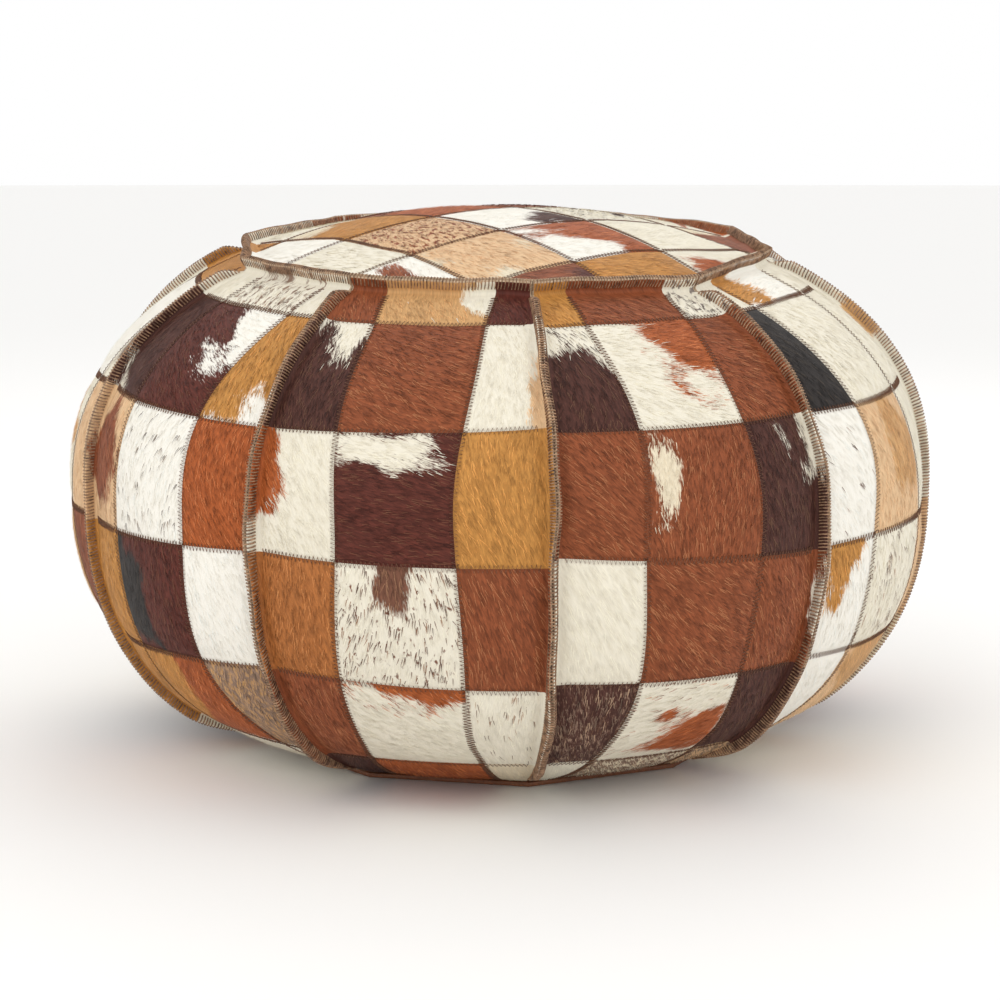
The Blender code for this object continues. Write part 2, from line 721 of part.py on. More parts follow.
def inner_rings(stations, depth):
    """Rings of a body that fills the cover this far inside the flesh line, from the foot to the crown."""
    floor = BAG_FLOOR + depth - BAG_SLACK
    wall = [s for s in stations[1 : -TURN_STEPS - 1] if s.at(-depth)[1] > floor + BAG_CORNER / 2]
    below = stations[stations.index(wall[0]) - 1]
    low, high = below.at(-depth), wall[0].at(-depth)
    share = (floor - low[1]) / (high[1] - low[1])
    flat = low[0] + (high[0] - low[0]) * share - BAG_CORNER
    rings = [(flat, floor, below.swell)]
    rings += [(*s.at(-depth), s.swell) for s in wall]
    dome = top_flesh_line(stations)[: DOME_RINGS + 1][::-1]
    dome = [(r, z - depth) for r, z in dome]
    rings += [(r, z, 0.0) for r, z in dome[1:-1]]
    crown = dome[-1][1]
    drop = (crown - dome[-2][1]) * CROWN_FLAT ** 2
    rings.append((dome[-2][0] * CROWN_FLAT, crown - drop, 0.0))
    return rings


def make_inside(stations, group, cloth, stuffing):
    """The inner bag, open at its mouth over the zip, and the stuffing in it."""
    outer = inner_rings(stations, BAG_SLACK)
    inner = inner_rings(stations, BAG_SLACK + BAG_THICKNESS)
    outer.insert(0, (BAG_MOUTH_RADIUS, outer[0][1], 0.0))
    inner.insert(0, (BAG_MOUTH_RADIUS, inner[0][1], 0.0))
    add_object("inner_bag", wrapped_body("inner_bag", outer, inner), group, cloth)
    fill = inner_rings(stations, BAG_SLACK + BAG_THICKNESS + GAP)
    add_object("stuffing", wrapped_body("stuffing", fill), group, stuffing)


def build():
    """Builds every piece into one collection."""
    empty_the_scene()
    pouf = new_collection(COLLECTION_NAME)
    tools = new_collection("join_tools")
    hides = [material(f"hide_{name}", colour, 0.6) for name, colour in HIDE_COLOURS.items()]
    thread = material("brown_thread", (0.14, 0.07, 0.045), 0.8)
    leather = material("base_leather", (0.15, 0.06, 0.03), 0.55)
    calico = material("bag_calico", (0.72, 0.67, 0.56), 0.9)
    tape = material("zip_tape", (0.12, 0.06, 0.04), 0.85)
    brass = material("zip_brass", (0.55, 0.38, 0.14), 0.35, 1.0)
    fibre = material("stuffing_fibre", (0.85, 0.84, 0.80), 0.95)
    stations = gore_stations()
    make_gores(stations, pouf, hides)
    make_gore_seams(stations, pouf, thread)
    make_top(stations, pouf, hides[0], thread)
    make_base(pouf, tools, leather)
    make_zip(pouf, tools, tape, brass)
    make_inside(stations, pouf, calico, fibre)


build()
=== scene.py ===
"""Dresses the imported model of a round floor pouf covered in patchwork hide.

The cover is ten gores of hair-on hide squares and a ten-sided top. The squares are joined
edge to edge with zigzag thread. The gores and the top are joined by seams whose raw edges
stand outward, overcast with thread. The leather base closes with a zip.
"""

import logging
import math
import random
from collections.abc import Callable, Iterable
from dataclasses import dataclass, field
from enum import Enum
from functools import cached_property

import bmesh
import bpy
import numpy as np
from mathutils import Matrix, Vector


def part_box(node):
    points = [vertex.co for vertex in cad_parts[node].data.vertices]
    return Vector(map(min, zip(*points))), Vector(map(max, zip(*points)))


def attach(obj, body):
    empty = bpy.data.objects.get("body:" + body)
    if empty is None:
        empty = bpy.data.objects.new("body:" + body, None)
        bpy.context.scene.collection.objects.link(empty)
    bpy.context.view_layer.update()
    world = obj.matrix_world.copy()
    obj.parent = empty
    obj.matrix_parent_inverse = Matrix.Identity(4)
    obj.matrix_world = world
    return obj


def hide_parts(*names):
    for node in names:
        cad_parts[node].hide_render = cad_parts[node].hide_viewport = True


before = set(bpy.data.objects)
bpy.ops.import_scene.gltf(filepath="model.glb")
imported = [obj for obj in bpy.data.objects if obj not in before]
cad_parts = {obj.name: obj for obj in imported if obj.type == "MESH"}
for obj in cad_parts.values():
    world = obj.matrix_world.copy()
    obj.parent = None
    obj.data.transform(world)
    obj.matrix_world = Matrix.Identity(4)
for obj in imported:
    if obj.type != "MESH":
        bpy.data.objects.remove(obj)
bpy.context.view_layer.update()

LOG = logging.getLogger("hide_pouf")
MM = 0.001

Array = np.ndarray
Material = bpy.types.Material
Socket = bpy.types.NodeSocket
Thing = bpy.types.Object
Tree = bpy.types.NodeTree
Pair = tuple[float, float]
# A square of the top, by its numbers across and along.
Cell = tuple[int, int]
# Points of a thread and its outward directions.
Line = tuple[Array, Array]


# ---- colours and finishes


def linear(hex_colour: str) -> tuple[float, float, float, float]:
    """Turns an sRGB hex colour into linear RGBA.

    Args:
        hex_colour: six hex digits with a leading #.

    Returns:
        The linear colour with an alpha of 1.
    """
    channels = []
    for start in (1, 3, 5):
        value = int(hex_colour[start : start + 2], 16) / 255.0
        channels.append(value / 12.92 if value <= 0.04045 else ((value + 0.055) / 1.055) ** 2.4)
    return (*channels, 1.0)


class Tone(Enum):
    """Coat and leather colours, as sRGB hex."""

    WHITE = "#F2EEE4"
    IVORY = "#E8E1CF"
    CREAM = "#E3D6BC"
    PEACH = "#DDB98F"
    TAN = "#C99C68"
    CAMEL = "#BC8442"
    COGNAC = "#A96835"
    RUST = "#A65629"
    CHESTNUT = "#8A4A2B"
    MAROON = "#5A2A20"
    UMBER = "#4E2D25"
    BLACK = "#2F2A28"
    COCOA = "#744C3A"
    TAUPE = "#8E7462"
    GREY = "#7F736B"


def add_node(tree: Tree, kind: str, inputs: dict | None = None, **settings: object) -> bpy.types.Node:
    """Adds one shader node with its settings, values and links.

    Args:
        tree: the node tree to add to.
        kind: the node's type name.
        inputs: a value or an output socket for each input, by name or number.
        settings: attributes of the node itself.

    Returns:
        The new node.
    """
    node = tree.nodes.new(kind)
    for name, value in settings.items():
        setattr(node, name, value)
    for key, value in (inputs or {}).items():
        socket = node.inputs[key]
        if isinstance(value, Socket):
            tree.links.new(value, socket)
        else:
            socket.default_value = value
    return node


def new_material(name: str) -> tuple[Material, Tree, bpy.types.Node]:
    """Makes a material with one Principled shader.

    Args:
        name: of the material.

    Returns:
        The material, its node tree and its shader.
    """
    material = bpy.data.materials.new(name)
    material.use_nodes = True
    tree = material.node_tree
    return material, tree, tree.nodes["Principled BSDF"]


@dataclass(frozen=True)
class HideFinish:
    """Hair-on cowhide. Short flat hair, so it looks matt with fine streaks along the nap.

    Each patch's colours and the place of its marks come from attributes on the mesh. The
    noise below gives the marks their hairy edges.
    """

    name: str = "hair_on_cowhide"
    blotch_mm: float = 24.0
    speck_mm: float = 3.6
    streak_mm: Pair = (7.0, 1.3)
    # A cow's hair is about 0.05 mm thick. It is drawn coarser, so that it shows.
    hair_mm: Pair = (3.2, 0.6)
    # Sets each patch apart in the noise.
    layer: float = 60.0
    roughness: float = 0.62
    specular: float = 0.22

    def noise(self, tree: Tree, place: Socket, size: Pair, **inputs: float) -> Socket:
        """Adds stretched noise.

        Args:
            tree: the material's nodes.
            place: where on the nap.
            size: of a grain along the nap and across it, in millimetres.
            inputs: further values of the noise.

        Returns:
            The noise, from 0 to 1.
        """
        along, across = (1000.0 / s for s in size)
        scale = (along, across, self.layer)
        scaled = add_node(tree, "ShaderNodeVectorMath", {0: place, 1: scale}, operation="MULTIPLY")
        values = {"Vector": scaled.outputs[0], "Scale": 1.0, **inputs}
        return add_node(tree, "ShaderNodeTexNoise", values).outputs["Fac"]

    def threshold(self, tree: Tree, bias: Socket, grains: list[tuple], soft: float) -> Socket:
        """Marks where a bias plus weighted noise rises above zero.

        Args:
            tree: the material's nodes.
            bias: the level before the noise.
            grains: noises with their weights.
            soft: half the width of the edge.

        Returns:
            The mark, from 0 to 1.
        """
        total = bias
        for grain, weight in grains:
            part = add_node(
                tree, "ShaderNodeMath", {0: grain, 1: weight, 2: -0.5 * weight}, operation="MULTIPLY_ADD"
            )
            summed = add_node(tree, "ShaderNodeMath", {0: total, 1: part.outputs[0]}, operation="ADD")
            total = summed.outputs[0]
        ramp = add_node(
            tree,
            "ShaderNodeMapRange",
            {"Value": total, "From Min": -soft, "From Max": soft},
            interpolation_type="SMOOTHSTEP",
        )
        return ramp.outputs["Result"]

    def build(self) -> Material:
        """Makes the material.

        Returns:
            The material.
        """
        material, tree, shader = new_material(self.name)
        ground = add_node(tree, "ShaderNodeAttribute", attribute_name="coat_ground").outputs["Color"]
        mark = add_node(tree, "ShaderNodeAttribute", attribute_name="coat_mark").outputs["Color"]
        place = add_node(tree, "ShaderNodeAttribute", attribute_name="nap_place").outputs["Vector"]
        mixing = add_node(tree, "ShaderNodeAttribute", attribute_name="coat_mixing").outputs["Vector"]
        parts = add_node(tree, "ShaderNodeSeparateXYZ", {0: mixing}).outputs

        blotch_size = (self.blotch_mm * 1.3, self.blotch_mm)
        blotch = self.noise(tree, place, blotch_size, Detail=4.0, Roughness=0.6, Distortion=0.5)
        speck_size = (self.speck_mm * 1.5, self.speck_mm)
        speck = self.noise(tree, place, speck_size, Detail=2.0, Roughness=0.5)
        streak = self.noise(tree, place, self.streak_mm, Detail=2.0, Roughness=0.6, Distortion=0.3)
        hair = self.noise(tree, place, self.hair_mm, Detail=2.0, Roughness=0.7)

        splash = self.threshold(tree, parts["X"], [(streak, 0.60), (hair, 0.30)], 0.10)
        specks = self.threshold(tree, parts["Y"], [(speck, 2.2), (streak, 0.6)], 0.14)
        roan = self.threshold(tree, parts["Z"], [(streak, 1.7), (hair, 1.3), (blotch, 0.8)], 0.30)
        dotted = add_node(tree, "ShaderNodeMath", {0: splash, 1: specks}, operation="MAXIMUM").outputs[0]
        marked = add_node(tree, "ShaderNodeMath", {0: dotted, 1: roan}, operation="MAXIMUM").outputs[0]
        coat = add_node(
            tree, "ShaderNodeMix", {0: marked, 6: ground, 7: mark}, data_type="RGBA", clamp_factor=True
        ).outputs[2]

        # The nap catches light unevenly: long soft patches, then single strands.
        steep = {"From Min": 0.25, "From Max": 0.75}
        depth = add_node(
            tree, "ShaderNodeMapRange", {"Value": blotch, "To Min": 0.80, "To Max": 1.22}
        ).outputs["Result"]
        strand = add_node(
            tree, "ShaderNodeMapRange", {"Value": streak, **steep, "To Min": 0.56, "To Max": 1.40}
        ).outputs["Result"]
        fine = add_node(
            tree, "ShaderNodeMapRange", {"Value": hair, **steep, "To Min": 0.78, "To Max": 1.20}
        ).outputs["Result"]
        shade = add_node(tree, "ShaderNodeMath", {0: depth, 1: strand}, operation="MULTIPLY").outputs[0]
        shade = add_node(tree, "ShaderNodeMath", {0: shade, 1: fine}, operation="MULTIPLY").outputs[0]
        # White hair hides its own shadows, dark hair does not.
        bright = add_node(tree, "ShaderNodeRGBToBW", {0: coat}).outputs[0]
        calm = add_node(
            tree, "ShaderNodeMath", {0: bright, 1: 1.05, 2: 0.06}, operation="MULTIPLY_ADD"
        ).outputs[0]
        shade = add_node(
            tree, "ShaderNodeMix", {"Factor": calm, 2: shade, 3: 1.0}, data_type="FLOAT", clamp_factor=True
        ).outputs[0]
        toned = add_node(
            tree, "ShaderNodeVectorMath", {0: coat, "Scale": shade}, operation="SCALE"
        ).outputs[0]

        relief = add_node(tree, "ShaderNodeMath", {0: streak, 1: hair}, operation="ADD").outputs[0]
        bump = add_node(tree, "ShaderNodeBump", {"Height": relief, "Strength": 0.5, "Distance": 0.4 * MM})
        tree.links.new(toned, shader.inputs["Base Color"])
        tree.links.new(bump.outputs[0], shader.inputs["Normal"])
        shader.inputs["Roughness"].default_value = self.roughness
        shader.inputs["Specular IOR Level"].default_value = self.specular
        return material


@dataclass(frozen=True)
class GrainFinish:
    """A dull material with one grain: leather, thread, cloth or fibre."""

    name: str
    light: str
    dark: str
    grain_mm: float
    roughness: float
    bump_mm: float
    detail: float = 3.0
    sheen: float = 0.0

    def build(self) -> Material:
        """Makes the material.

        Returns:
            The material.
        """
        material, tree, shader = new_material(self.name)
        place = add_node(tree, "ShaderNodeTexCoord").outputs["Object"]
        grain = add_node(
            tree,
            "ShaderNodeTexNoise",
            {"Vector": place, "Scale": 1000.0 / self.grain_mm, "Detail": self.detail, "Roughness": 0.6},
        ).outputs["Fac"]
        ramp = add_node(tree, "ShaderNodeMapRange", {"Value": grain, "From Min": 0.3, "From Max": 0.7})
        colour = add_node(
            tree,
            "ShaderNodeMix",
            {0: ramp.outputs["Result"], 6: linear(self.dark), 7: linear(self.light)},
            data_type="RGBA",
        ).outputs[2]
        bump = add_node(
            tree, "ShaderNodeBump", {"Height": grain, "Strength": 0.6, "Distance": self.bump_mm * MM}
        )
        tree.links.new(colour, shader.inputs["Base Color"])
        tree.links.new(bump.outputs[0], shader.inputs["Normal"])
        shader.inputs["Roughness"].default_value = self.roughness
        shader.inputs["Sheen Weight"].default_value = self.sheen
        return material


@dataclass(frozen=True)
class BrassFinish:
    """Brushed brass of the zip: warm metal with faint scratches that break up its shine."""

    name: str = "antique_brass"
    colour: str = "#B08D4A"
    roughness: float = 0.34
    scratch_mm: float = 1.2

    def build(self) -> Material:
        """Makes the material.

        Returns:
            The material.
        """
        material, tree, shader = new_material(self.name)
        place = add_node(tree, "ShaderNodeTexCoord").outputs["Object"]
        scratch = add_node(
            tree, "ShaderNodeTexNoise", {"Vector": place, "Scale": 1000.0 / self.scratch_mm, "Detail": 4.0}
        ).outputs["Fac"]
        rough = add_node(
            tree,
            "ShaderNodeMapRange",
            {"Value": scratch, "To Min": self.roughness - 0.08, "To Max": self.roughness + 0.14},
        )
        tree.links.new(rough.outputs["Result"], shader.inputs["Roughness"])
        shader.inputs["Base Color"].default_value = linear(self.colour)
        shader.inputs["Metallic"].default_value = 1.0
        return material


# ---- coats of the hide patches


@dataclass(frozen=True)
class Coat:
    """The colouring of one patch of hide.

    The mark is a splash centred on `at`, in patch halves from the middle, +x to the right
    and +y up. A centre outside the patch makes an edge that runs across it. `spread` makes
    it wide or tall.
    """

    ground: Tone
    mark: Tone = Tone.UMBER
    at: Pair = (0.0, 0.0)
    size: float = -9.0
    specks: float = -9.0
    roan: float = -9.0
    nap_deg: float = -80.0
    spread: Pair = (1.0, 1.0)


def plain(ground: Tone, nap: float = -80.0) -> Coat:
    """A patch of one colour."""
    return Coat(ground, nap_deg=nap)


def splash(ground: Tone, mark: Tone, at: Pair, size: float, nap: float = -80.0) -> Coat:
    """A patch with one ragged splash of a second colour."""
    return Coat(ground, mark, at=at, size=size, nap_deg=nap)


def band(ground: Tone, mark: Tone, at: Pair, size: float, spread: tuple, nap: float = -80.0) -> Coat:
    """A patch with a wide or tall splash."""
    return Coat(ground, mark, at=at, size=size, nap_deg=nap, spread=spread)


def specked(ground: Tone, mark: Tone, level: float = -0.25, roan: float = -9.0) -> Coat:
    """A patch with scattered small spots."""
    return Coat(ground, mark, specks=level, roan=roan)


def mottled(ground: Tone, mark: Tone, at: Pair, size: float, specks: float, roan: float = -9.0) -> Coat:
    """A patch with a splash that breaks up into spots and mixed hairs."""
    return Coat(ground, mark, at=at, size=size, specks=specks, roan=roan)


T = Tone
CHANCE_COATS = (
    plain(T.CHESTNUT),
    plain(T.CHESTNUT, nap=-60.0),
    plain(T.RUST),
    plain(T.CAMEL),
    plain(T.UMBER),
    plain(T.IVORY),
    plain(T.WHITE),
    plain(T.CREAM),
    plain(T.PEACH),
    splash(T.IVORY, T.CHESTNUT, (-0.5, 0.6), 0.7),
    splash(T.IVORY, T.RUST, (0.8, 0.8), 0.9),
    splash(T.WHITE, T.UMBER, (0.0, -1.2), 0.9),
    splash(T.UMBER, T.IVORY, (0.5, 1.2), 0.9),
    splash(T.RUST, T.CREAM, (-1.0, 0.0), 0.7),
    splash(T.CREAM, T.TAN, (0.2, -0.4), 0.5),
    specked(T.WHITE, T.GREY, -0.40),
    specked(T.IVORY, T.TAUPE, -0.20, roan=-0.7),
    mottled(T.IVORY, T.UMBER, (0.3, 1.1), 0.7, -0.25),
)

# Rows run from the rim to the foot, columns from left to right.
NAMED_GORES: dict[int, list[list[Coat]]] = {
    0: [
        [plain(T.CAMEL, -60), plain(T.CHESTNUT, -50), specked(T.IVORY, T.GREY, -0.20, -0.9)],
        [
            Coat(T.IVORY, T.UMBER, at=(0.0, -1.2), size=1.50, specks=-0.35, roan=-0.45, spread=(4.5, 1.0)),
            splash(T.IVORY, T.RUST, (0.75, 0.75), 1.15, -20),
            plain(T.CHESTNUT, -60),
        ],
        [
            plain(T.CHESTNUT, -55),
            band(T.CHESTNUT, T.CREAM, (-0.75, 0.1), 0.50, (0.6, 1.7)),
            splash(T.UMBER, T.IVORY, (0.9, 1.0), 0.8),
        ],
        [
            plain(T.IVORY, -70),
            plain(T.CHESTNUT, -40),
            band(T.CHESTNUT, T.IVORY, (1.2, 0.2), 0.55, (1.0, 2.2)),
        ],
        [
            mottled(T.UMBER, T.TAUPE, (0.5, 0.0), -0.3, -0.35, -0.3),
            Coat(T.IVORY, T.RUST, at=(0.5, -0.1), size=0.62, roan=-0.62, nap_deg=-150, spread=(1.4, 0.7)),
            plain(T.UMBER, -70),
        ],
        [
            splash(T.IVORY, T.TAN, (0.0, -0.8), 0.5),
            specked(T.CREAM, T.TAUPE, 0.05, -0.2),
            specked(T.PEACH, T.TAUPE, -0.1, -0.3),
        ],
    ],
    1: [
        [plain(T.IVORY), splash(T.WHITE, T.CAMEL, (-1.2, -0.1), 1.0, -10), plain(T.IVORY)],
        [plain(T.BLACK, -60), plain(T.IVORY, -50), splash(T.IVORY, T.TAN, (0.3, 0.3), 0.35)],
        [specked(T.WHITE, T.COCOA, -0.85), splash(T.PEACH, T.TAN, (0.2, 0.2), 0.6), plain(T.IVORY)],
        [
            splash(T.WHITE, T.CAMEL, (0.0, 1.1), 0.85),
            specked(T.IVORY, T.TAUPE, -0.55),
            splash(T.PEACH, T.CHESTNUT, (0.0, 0.0), 0.4),
        ],
        [plain(T.WHITE), splash(T.PEACH, T.TAN, (0.0, 0.5), 0.8), plain(T.CREAM)],
        [plain(T.CHESTNUT), plain(T.CREAM), plain(T.TAN)],
    ],
    7: [
        [plain(T.CAMEL), plain(T.CAMEL), splash(T.CAMEL, T.UMBER, (0.4, 0.6), 0.8)],
        [plain(T.IVORY), plain(T.WHITE), splash(T.IVORY, T.TAUPE, (0.0, -0.5), 0.7)],
        [plain(T.CREAM), splash(T.IVORY, T.TAN, (0.3, 0.2), 0.5), plain(T.PEACH)],
        [plain(T.CAMEL), plain(T.TAN), plain(T.CHESTNUT)],
        [plain(T.UMBER), plain(T.BLACK), plain(T.RUST)],
        [plain(T.CREAM), plain(T.UMBER), plain(T.CAMEL)],
    ],
    8: [
        [
            plain(T.IVORY),
            mottled(T.IVORY, T.TAUPE, (-0.6, 0.8), 0.4, -0.20, -0.75),
            splash(T.IVORY, T.UMBER, (1.0, 0.9), 0.7),
        ],
        [
            splash(T.UMBER, T.IVORY, (-0.2, -1.2), 0.55),
            splash(T.MAROON, T.WHITE, (0.85, 0.75), 0.75, -30),
            splash(T.CAMEL, T.WHITE, (0.2, -1.25), 0.75),
        ],
        [
            splash(T.PEACH, T.CHESTNUT, (0.2, 0.1), 0.65),
            specked(T.WHITE, T.GREY, -0.66),
            plain(T.RUST, -70),
        ],
        [plain(T.CAMEL), splash(T.MAROON, T.BLACK, (-0.9, 0.0), 0.9), plain(T.WHITE)],
        [plain(T.CAMEL), splash(T.RUST, T.CAMEL, (-0.8, 0.5), 0.9), specked(T.TAN, T.TAUPE, 0.05, -0.1)],
        [plain(T.IVORY), plain(T.IVORY), splash(T.IVORY, T.TAN, (0.0, 0.8), 0.4)],
    ],
    9: [
        [plain(T.CHESTNUT), mottled(T.TAN, T.IVORY, (1.0, 0.2), 0.65, -0.9), plain(T.MAROON)],
        [
            splash(T.UMBER, T.IVORY, (0.55, 1.25), 0.75),
            plain(T.CHESTNUT, -12),
            splash(T.IVORY, T.PEACH, (0.7, -0.5), 0.7),
        ],
        [
            splash(T.IVORY, T.RUST, (-0.85, 0.25), 0.85),
            band(T.MAROON, T.IVORY, (-0.30, 0.74), 0.30, (2.3, 0.62), -12),
            plain(T.CAMEL),
        ],
        [plain(T.COGNAC), mottled(T.IVORY, T.COCOA, (0.1, 1.0), 0.42, -0.36, -0.62), plain(T.CHESTNUT, -70)],
        [
            plain(T.CHESTNUT),
            band(T.IVORY, T.RUST, (-0.3, 1.2), 0.62, (3.0, 1.0), -40),
            specked(T.IVORY, T.TAUPE, -0.65),
        ],
        [plain(T.UMBER), plain(T.RUST), plain(T.CREAM)],
    ],
}

# Patches of the top by (across, along) its diagonal grid.
NAMED_TOP: dict[Cell, Coat] = {
    (0, 1): splash(T.WHITE, T.CHESTNUT, (0.1, 0.1), 0.3),
    (0, 2): plain(T.IVORY, -40),
    (0, 3): plain(T.WHITE, -40),
    (1, 0): splash(T.CHESTNUT, T.MAROON, (0.5, 0.5), 0.5, 20),
    (1, 1): splash(T.CREAM, T.PEACH, (0.0, 0.0), 0.7, -30),
    (1, 2): specked(T.PEACH, T.CHESTNUT, -0.15, -0.30),
    (1, 3): splash(T.CAMEL, T.CREAM, (-1.0, 0.6), 0.7, 10),
    (1, 4): plain(T.IVORY),
    (2, 0): plain(T.CAMEL, 10),
    (2, 1): splash(T.RUST, T.WHITE, (-0.4, -0.7), 0.75, 15),
    (2, 2): splash(T.WHITE, T.UMBER, (0.75, -0.2), 0.6, 10),
    (2, 3): plain(T.RUST, 10),
    (2, 4): splash(T.CHESTNUT, T.IVORY, (0.0, 1.0), 0.6),
    (3, 0): splash(T.IVORY, T.RUST, (0.2, -0.4), 0.75, 10),
    (3, 1): plain(T.IVORY, 15),
    (3, 2): mottled(T.IVORY, T.UMBER, (0.0, 0.0), 0.1, -0.35),
    (3, 3): plain(T.CHESTNUT),
    (4, 1): splash(T.CHESTNUT, T.CREAM, (-0.8, 0.4), 0.6, 10),
    (4, 2): splash(T.IVORY, T.RUST, (0.4, 0.4), 0.7),
}


class CoatBook:
    """Hands out the coat of every patch: the named ones first, the rest by chance."""

    def __init__(self, seed: int) -> None:
        """Starts the chance that the unnamed patches are drawn by."""
        self.chance = random.Random(seed)

    def gore(self, number: int, rows: int, columns: int) -> list[list[Coat]]:
        """Coats of one gore, from the rim down and from left to right.

        Args:
            number: of the gore.
            rows: of patches.
            columns: of patches.

        Returns:
            The coats, one list for each row.
        """
        if number in NAMED_GORES:
            return NAMED_GORES[number]
        return [[self.chance.choice(CHANCE_COATS) for _ in range(columns)] for _ in range(rows)]

    def top(self, cell: Cell) -> Coat:
        """Coat of one square of the top."""
        return NAMED_TOP.get(cell) or self.chance.choice(CHANCE_COATS)


# ---- form of the cover


def smooth(value: Array) -> Array:
    """Eases 0..1, and holds outside it."""
    x = np.clip(value, 0.0, 1.0)
    return x * x * (3.0 - 2.0 * x)


def clustered(low: float, high: float, count: int, pull: float = 0.65) -> Array:
    """Values from low to high, packed closer towards both ends.

    Args:
        low: first value.
        high: last value.
        count: of steps.
        pull: 0 for even steps, 1 for the closest ends.

    Returns:
        The values, one more than the steps.
    """
    even = np.linspace(0.0, 1.0, count + 1)
    eased = (1.0 - np.cos(math.pi * even)) / 2.0
    return low + (high - low) * (even * (1.0 - pull) + eased * pull)


@dataclass(frozen=True)
class PoufForm:
    """The settled shape of the stuffed cover, measured on its hair side, in metres."""

    seam_radius: float = 0.2905
    equator_height: float = 0.183
    rim_radius: float = 0.1873
    rim_height: float = 0.3337
    foot_radius: float = 0.1700
    foot_height: float = 0.0034
    upper_fullness: float = 2.4
    lower_fullness: float = 2.6
    puff: float = 0.033
    swell_power: float = 0.7
    lean: float = 0.097
    dome_rise: float = 0.026
    top_radius: float = 0.1795
    top_height: float = 0.3378
    gore_count: int = 10
    first_seam_deg: float = 6.1
    seam_stand: float = 0.0080
    rim_stand_deg: float = 62.0
    rim_tip: Pair = (0.1879, 0.3438)
    # Unevenness: height of each wave in millimetres, waves round the pouf, run up it, start.
    waves: tuple[tuple[float, ...], ...] = (
        (1.2, 3.0, 9.0, 0.6),
        (0.9, 7.0, -23.0, 2.1),
        (0.6, 13.0, 31.0, 0.0),
    )
    # The same for the rim, without the run.
    ripples: tuple[tuple[float, ...], ...] = ((0.6, 9.0, 0.8), (0.35, 23.0, 1.7))
    droop: float = 0.004
    droop_reach: float = 0.045

    @property
    def half_deg(self) -> float:
        """Half the angle of one gore."""
        return 180.0 / self.gore_count

    def arc_points(self, end_radius: float, end_height: float, power: float) -> tuple[Array, Array]:
        """Follows the superellipse from the widest ring to one end.

        Args:
            end_radius: radius of the end ring.
            end_height: its height from the widest ring.
            power: fullness of the curve.

        Returns:
            Radii, and heights from the widest ring.
        """
        reach = end_height / (1.0 - (end_radius / self.seam_radius) ** power) ** (1.0 / power)
        heights = np.linspace(0.0, end_height, 500)
        return self.seam_radius * (1.0 - (heights / reach) ** power) ** (1.0 / power), heights

    @cached_property
    def meridian(self) -> dict[str, Array]:
        """The cover's profile from foot to rim.

        Returns:
            Arc length from the widest ring, radius, height and outward direction.
        """
        down, up = self.equator_height - self.foot_height, self.rim_height - self.equator_height
        low_r, low_h = self.arc_points(self.foot_radius, down, self.lower_fullness)
        up_r, up_h = self.arc_points(self.rim_radius, up, self.upper_fullness)
        radius = np.concatenate([low_r[::-1], up_r[1:]])
        height = np.concatenate([self.equator_height - low_h[::-1], self.equator_height + up_h[1:]])
        arc = np.concatenate([[0.0], np.cumsum(np.hypot(np.diff(radius), np.diff(height)))])
        arc -= arc[len(low_r) - 1]
        run_r, run_h = np.gradient(radius, arc), np.gradient(height, arc)
        size = np.hypot(run_r, run_h)
        return {"arc": arc, "radius": radius, "height": height, "out_r": run_h / size, "out_h": -run_r / size}

    @property
    def arc_span(self) -> Pair:
        """Arc length of the foot and of the rim."""
        return float(self.meridian["arc"][0]), float(self.meridian["arc"][-1])

    def read(self, name: str, arc: Array) -> Array:
        """One column of the meridian at these arc lengths."""
        return np.interp(arc, self.meridian["arc"], self.meridian[name])

    def swell(self, arc: Array) -> Array:
        """How far a gore has swollen from its chord, 0 at its two ends."""
        low, high = self.arc_span
        return np.sin(math.pi * np.clip((arc - low) / (high - low), 0.0, 1.0)) ** self.swell_power

    def stand(self, arc: Array) -> Array:
        """Height of the standing seam between two gores.

        Args:
            arc: arc length from the widest ring.

        Returns:
            The height above the hair side.
        """
        low, high = self.arc_span
        rise, fade = smooth((arc - low - 0.012) / 0.055), smooth((high - arc + 0.002) / 0.018)
        return self.seam_stand * np.minimum(rise, fade)

    def across(self, within_deg: Array, swell: Array) -> Array:
        """Radius factor at an angle from a gore's middle.

        Args:
            within_deg: angle from the gore's middle.
            swell: 0 for a flat chord, 1 for fully swollen.

        Returns:
            The factor.
        """
        chord = math.cos(math.radians(self.half_deg)) / np.cos(np.radians(within_deg))
        arc = 1.0 + self.puff * (1.0 - (within_deg / self.half_deg) ** 2)
        return chord + (arc - chord) * swell

    def world(self, turn_deg: Array, radius: Array, height: Array, swell: Array) -> Array:
        """Finds points of the swollen cover.

        Args:
            turn_deg: angle from the first seam, towards +X.
            radius: of the seams at that height.
            height: above the floor.
            swell: of the gore there.

        Returns:
            World points.
        """
        within = np.mod(turn_deg, 2.0 * self.half_deg) - self.half_deg
        return self.place(turn_deg, radius * self.across(within, swell), height)

    def place(self, turn_deg: Array, reach: Array, height: Array) -> Array:
        """Puts points round the axis and settles them.

        Args:
            turn_deg: angle from the first seam, towards +X.
            reach: distance from the axis.
            height: above the floor.

        Returns:
            World points.
        """
        azimuth = np.radians(self.first_seam_deg + turn_deg)
        x, y = reach * np.sin(azimuth), -reach * np.cos(azimuth)
        return self.settle(np.stack(np.broadcast_arrays(x, y, height), axis=-1))

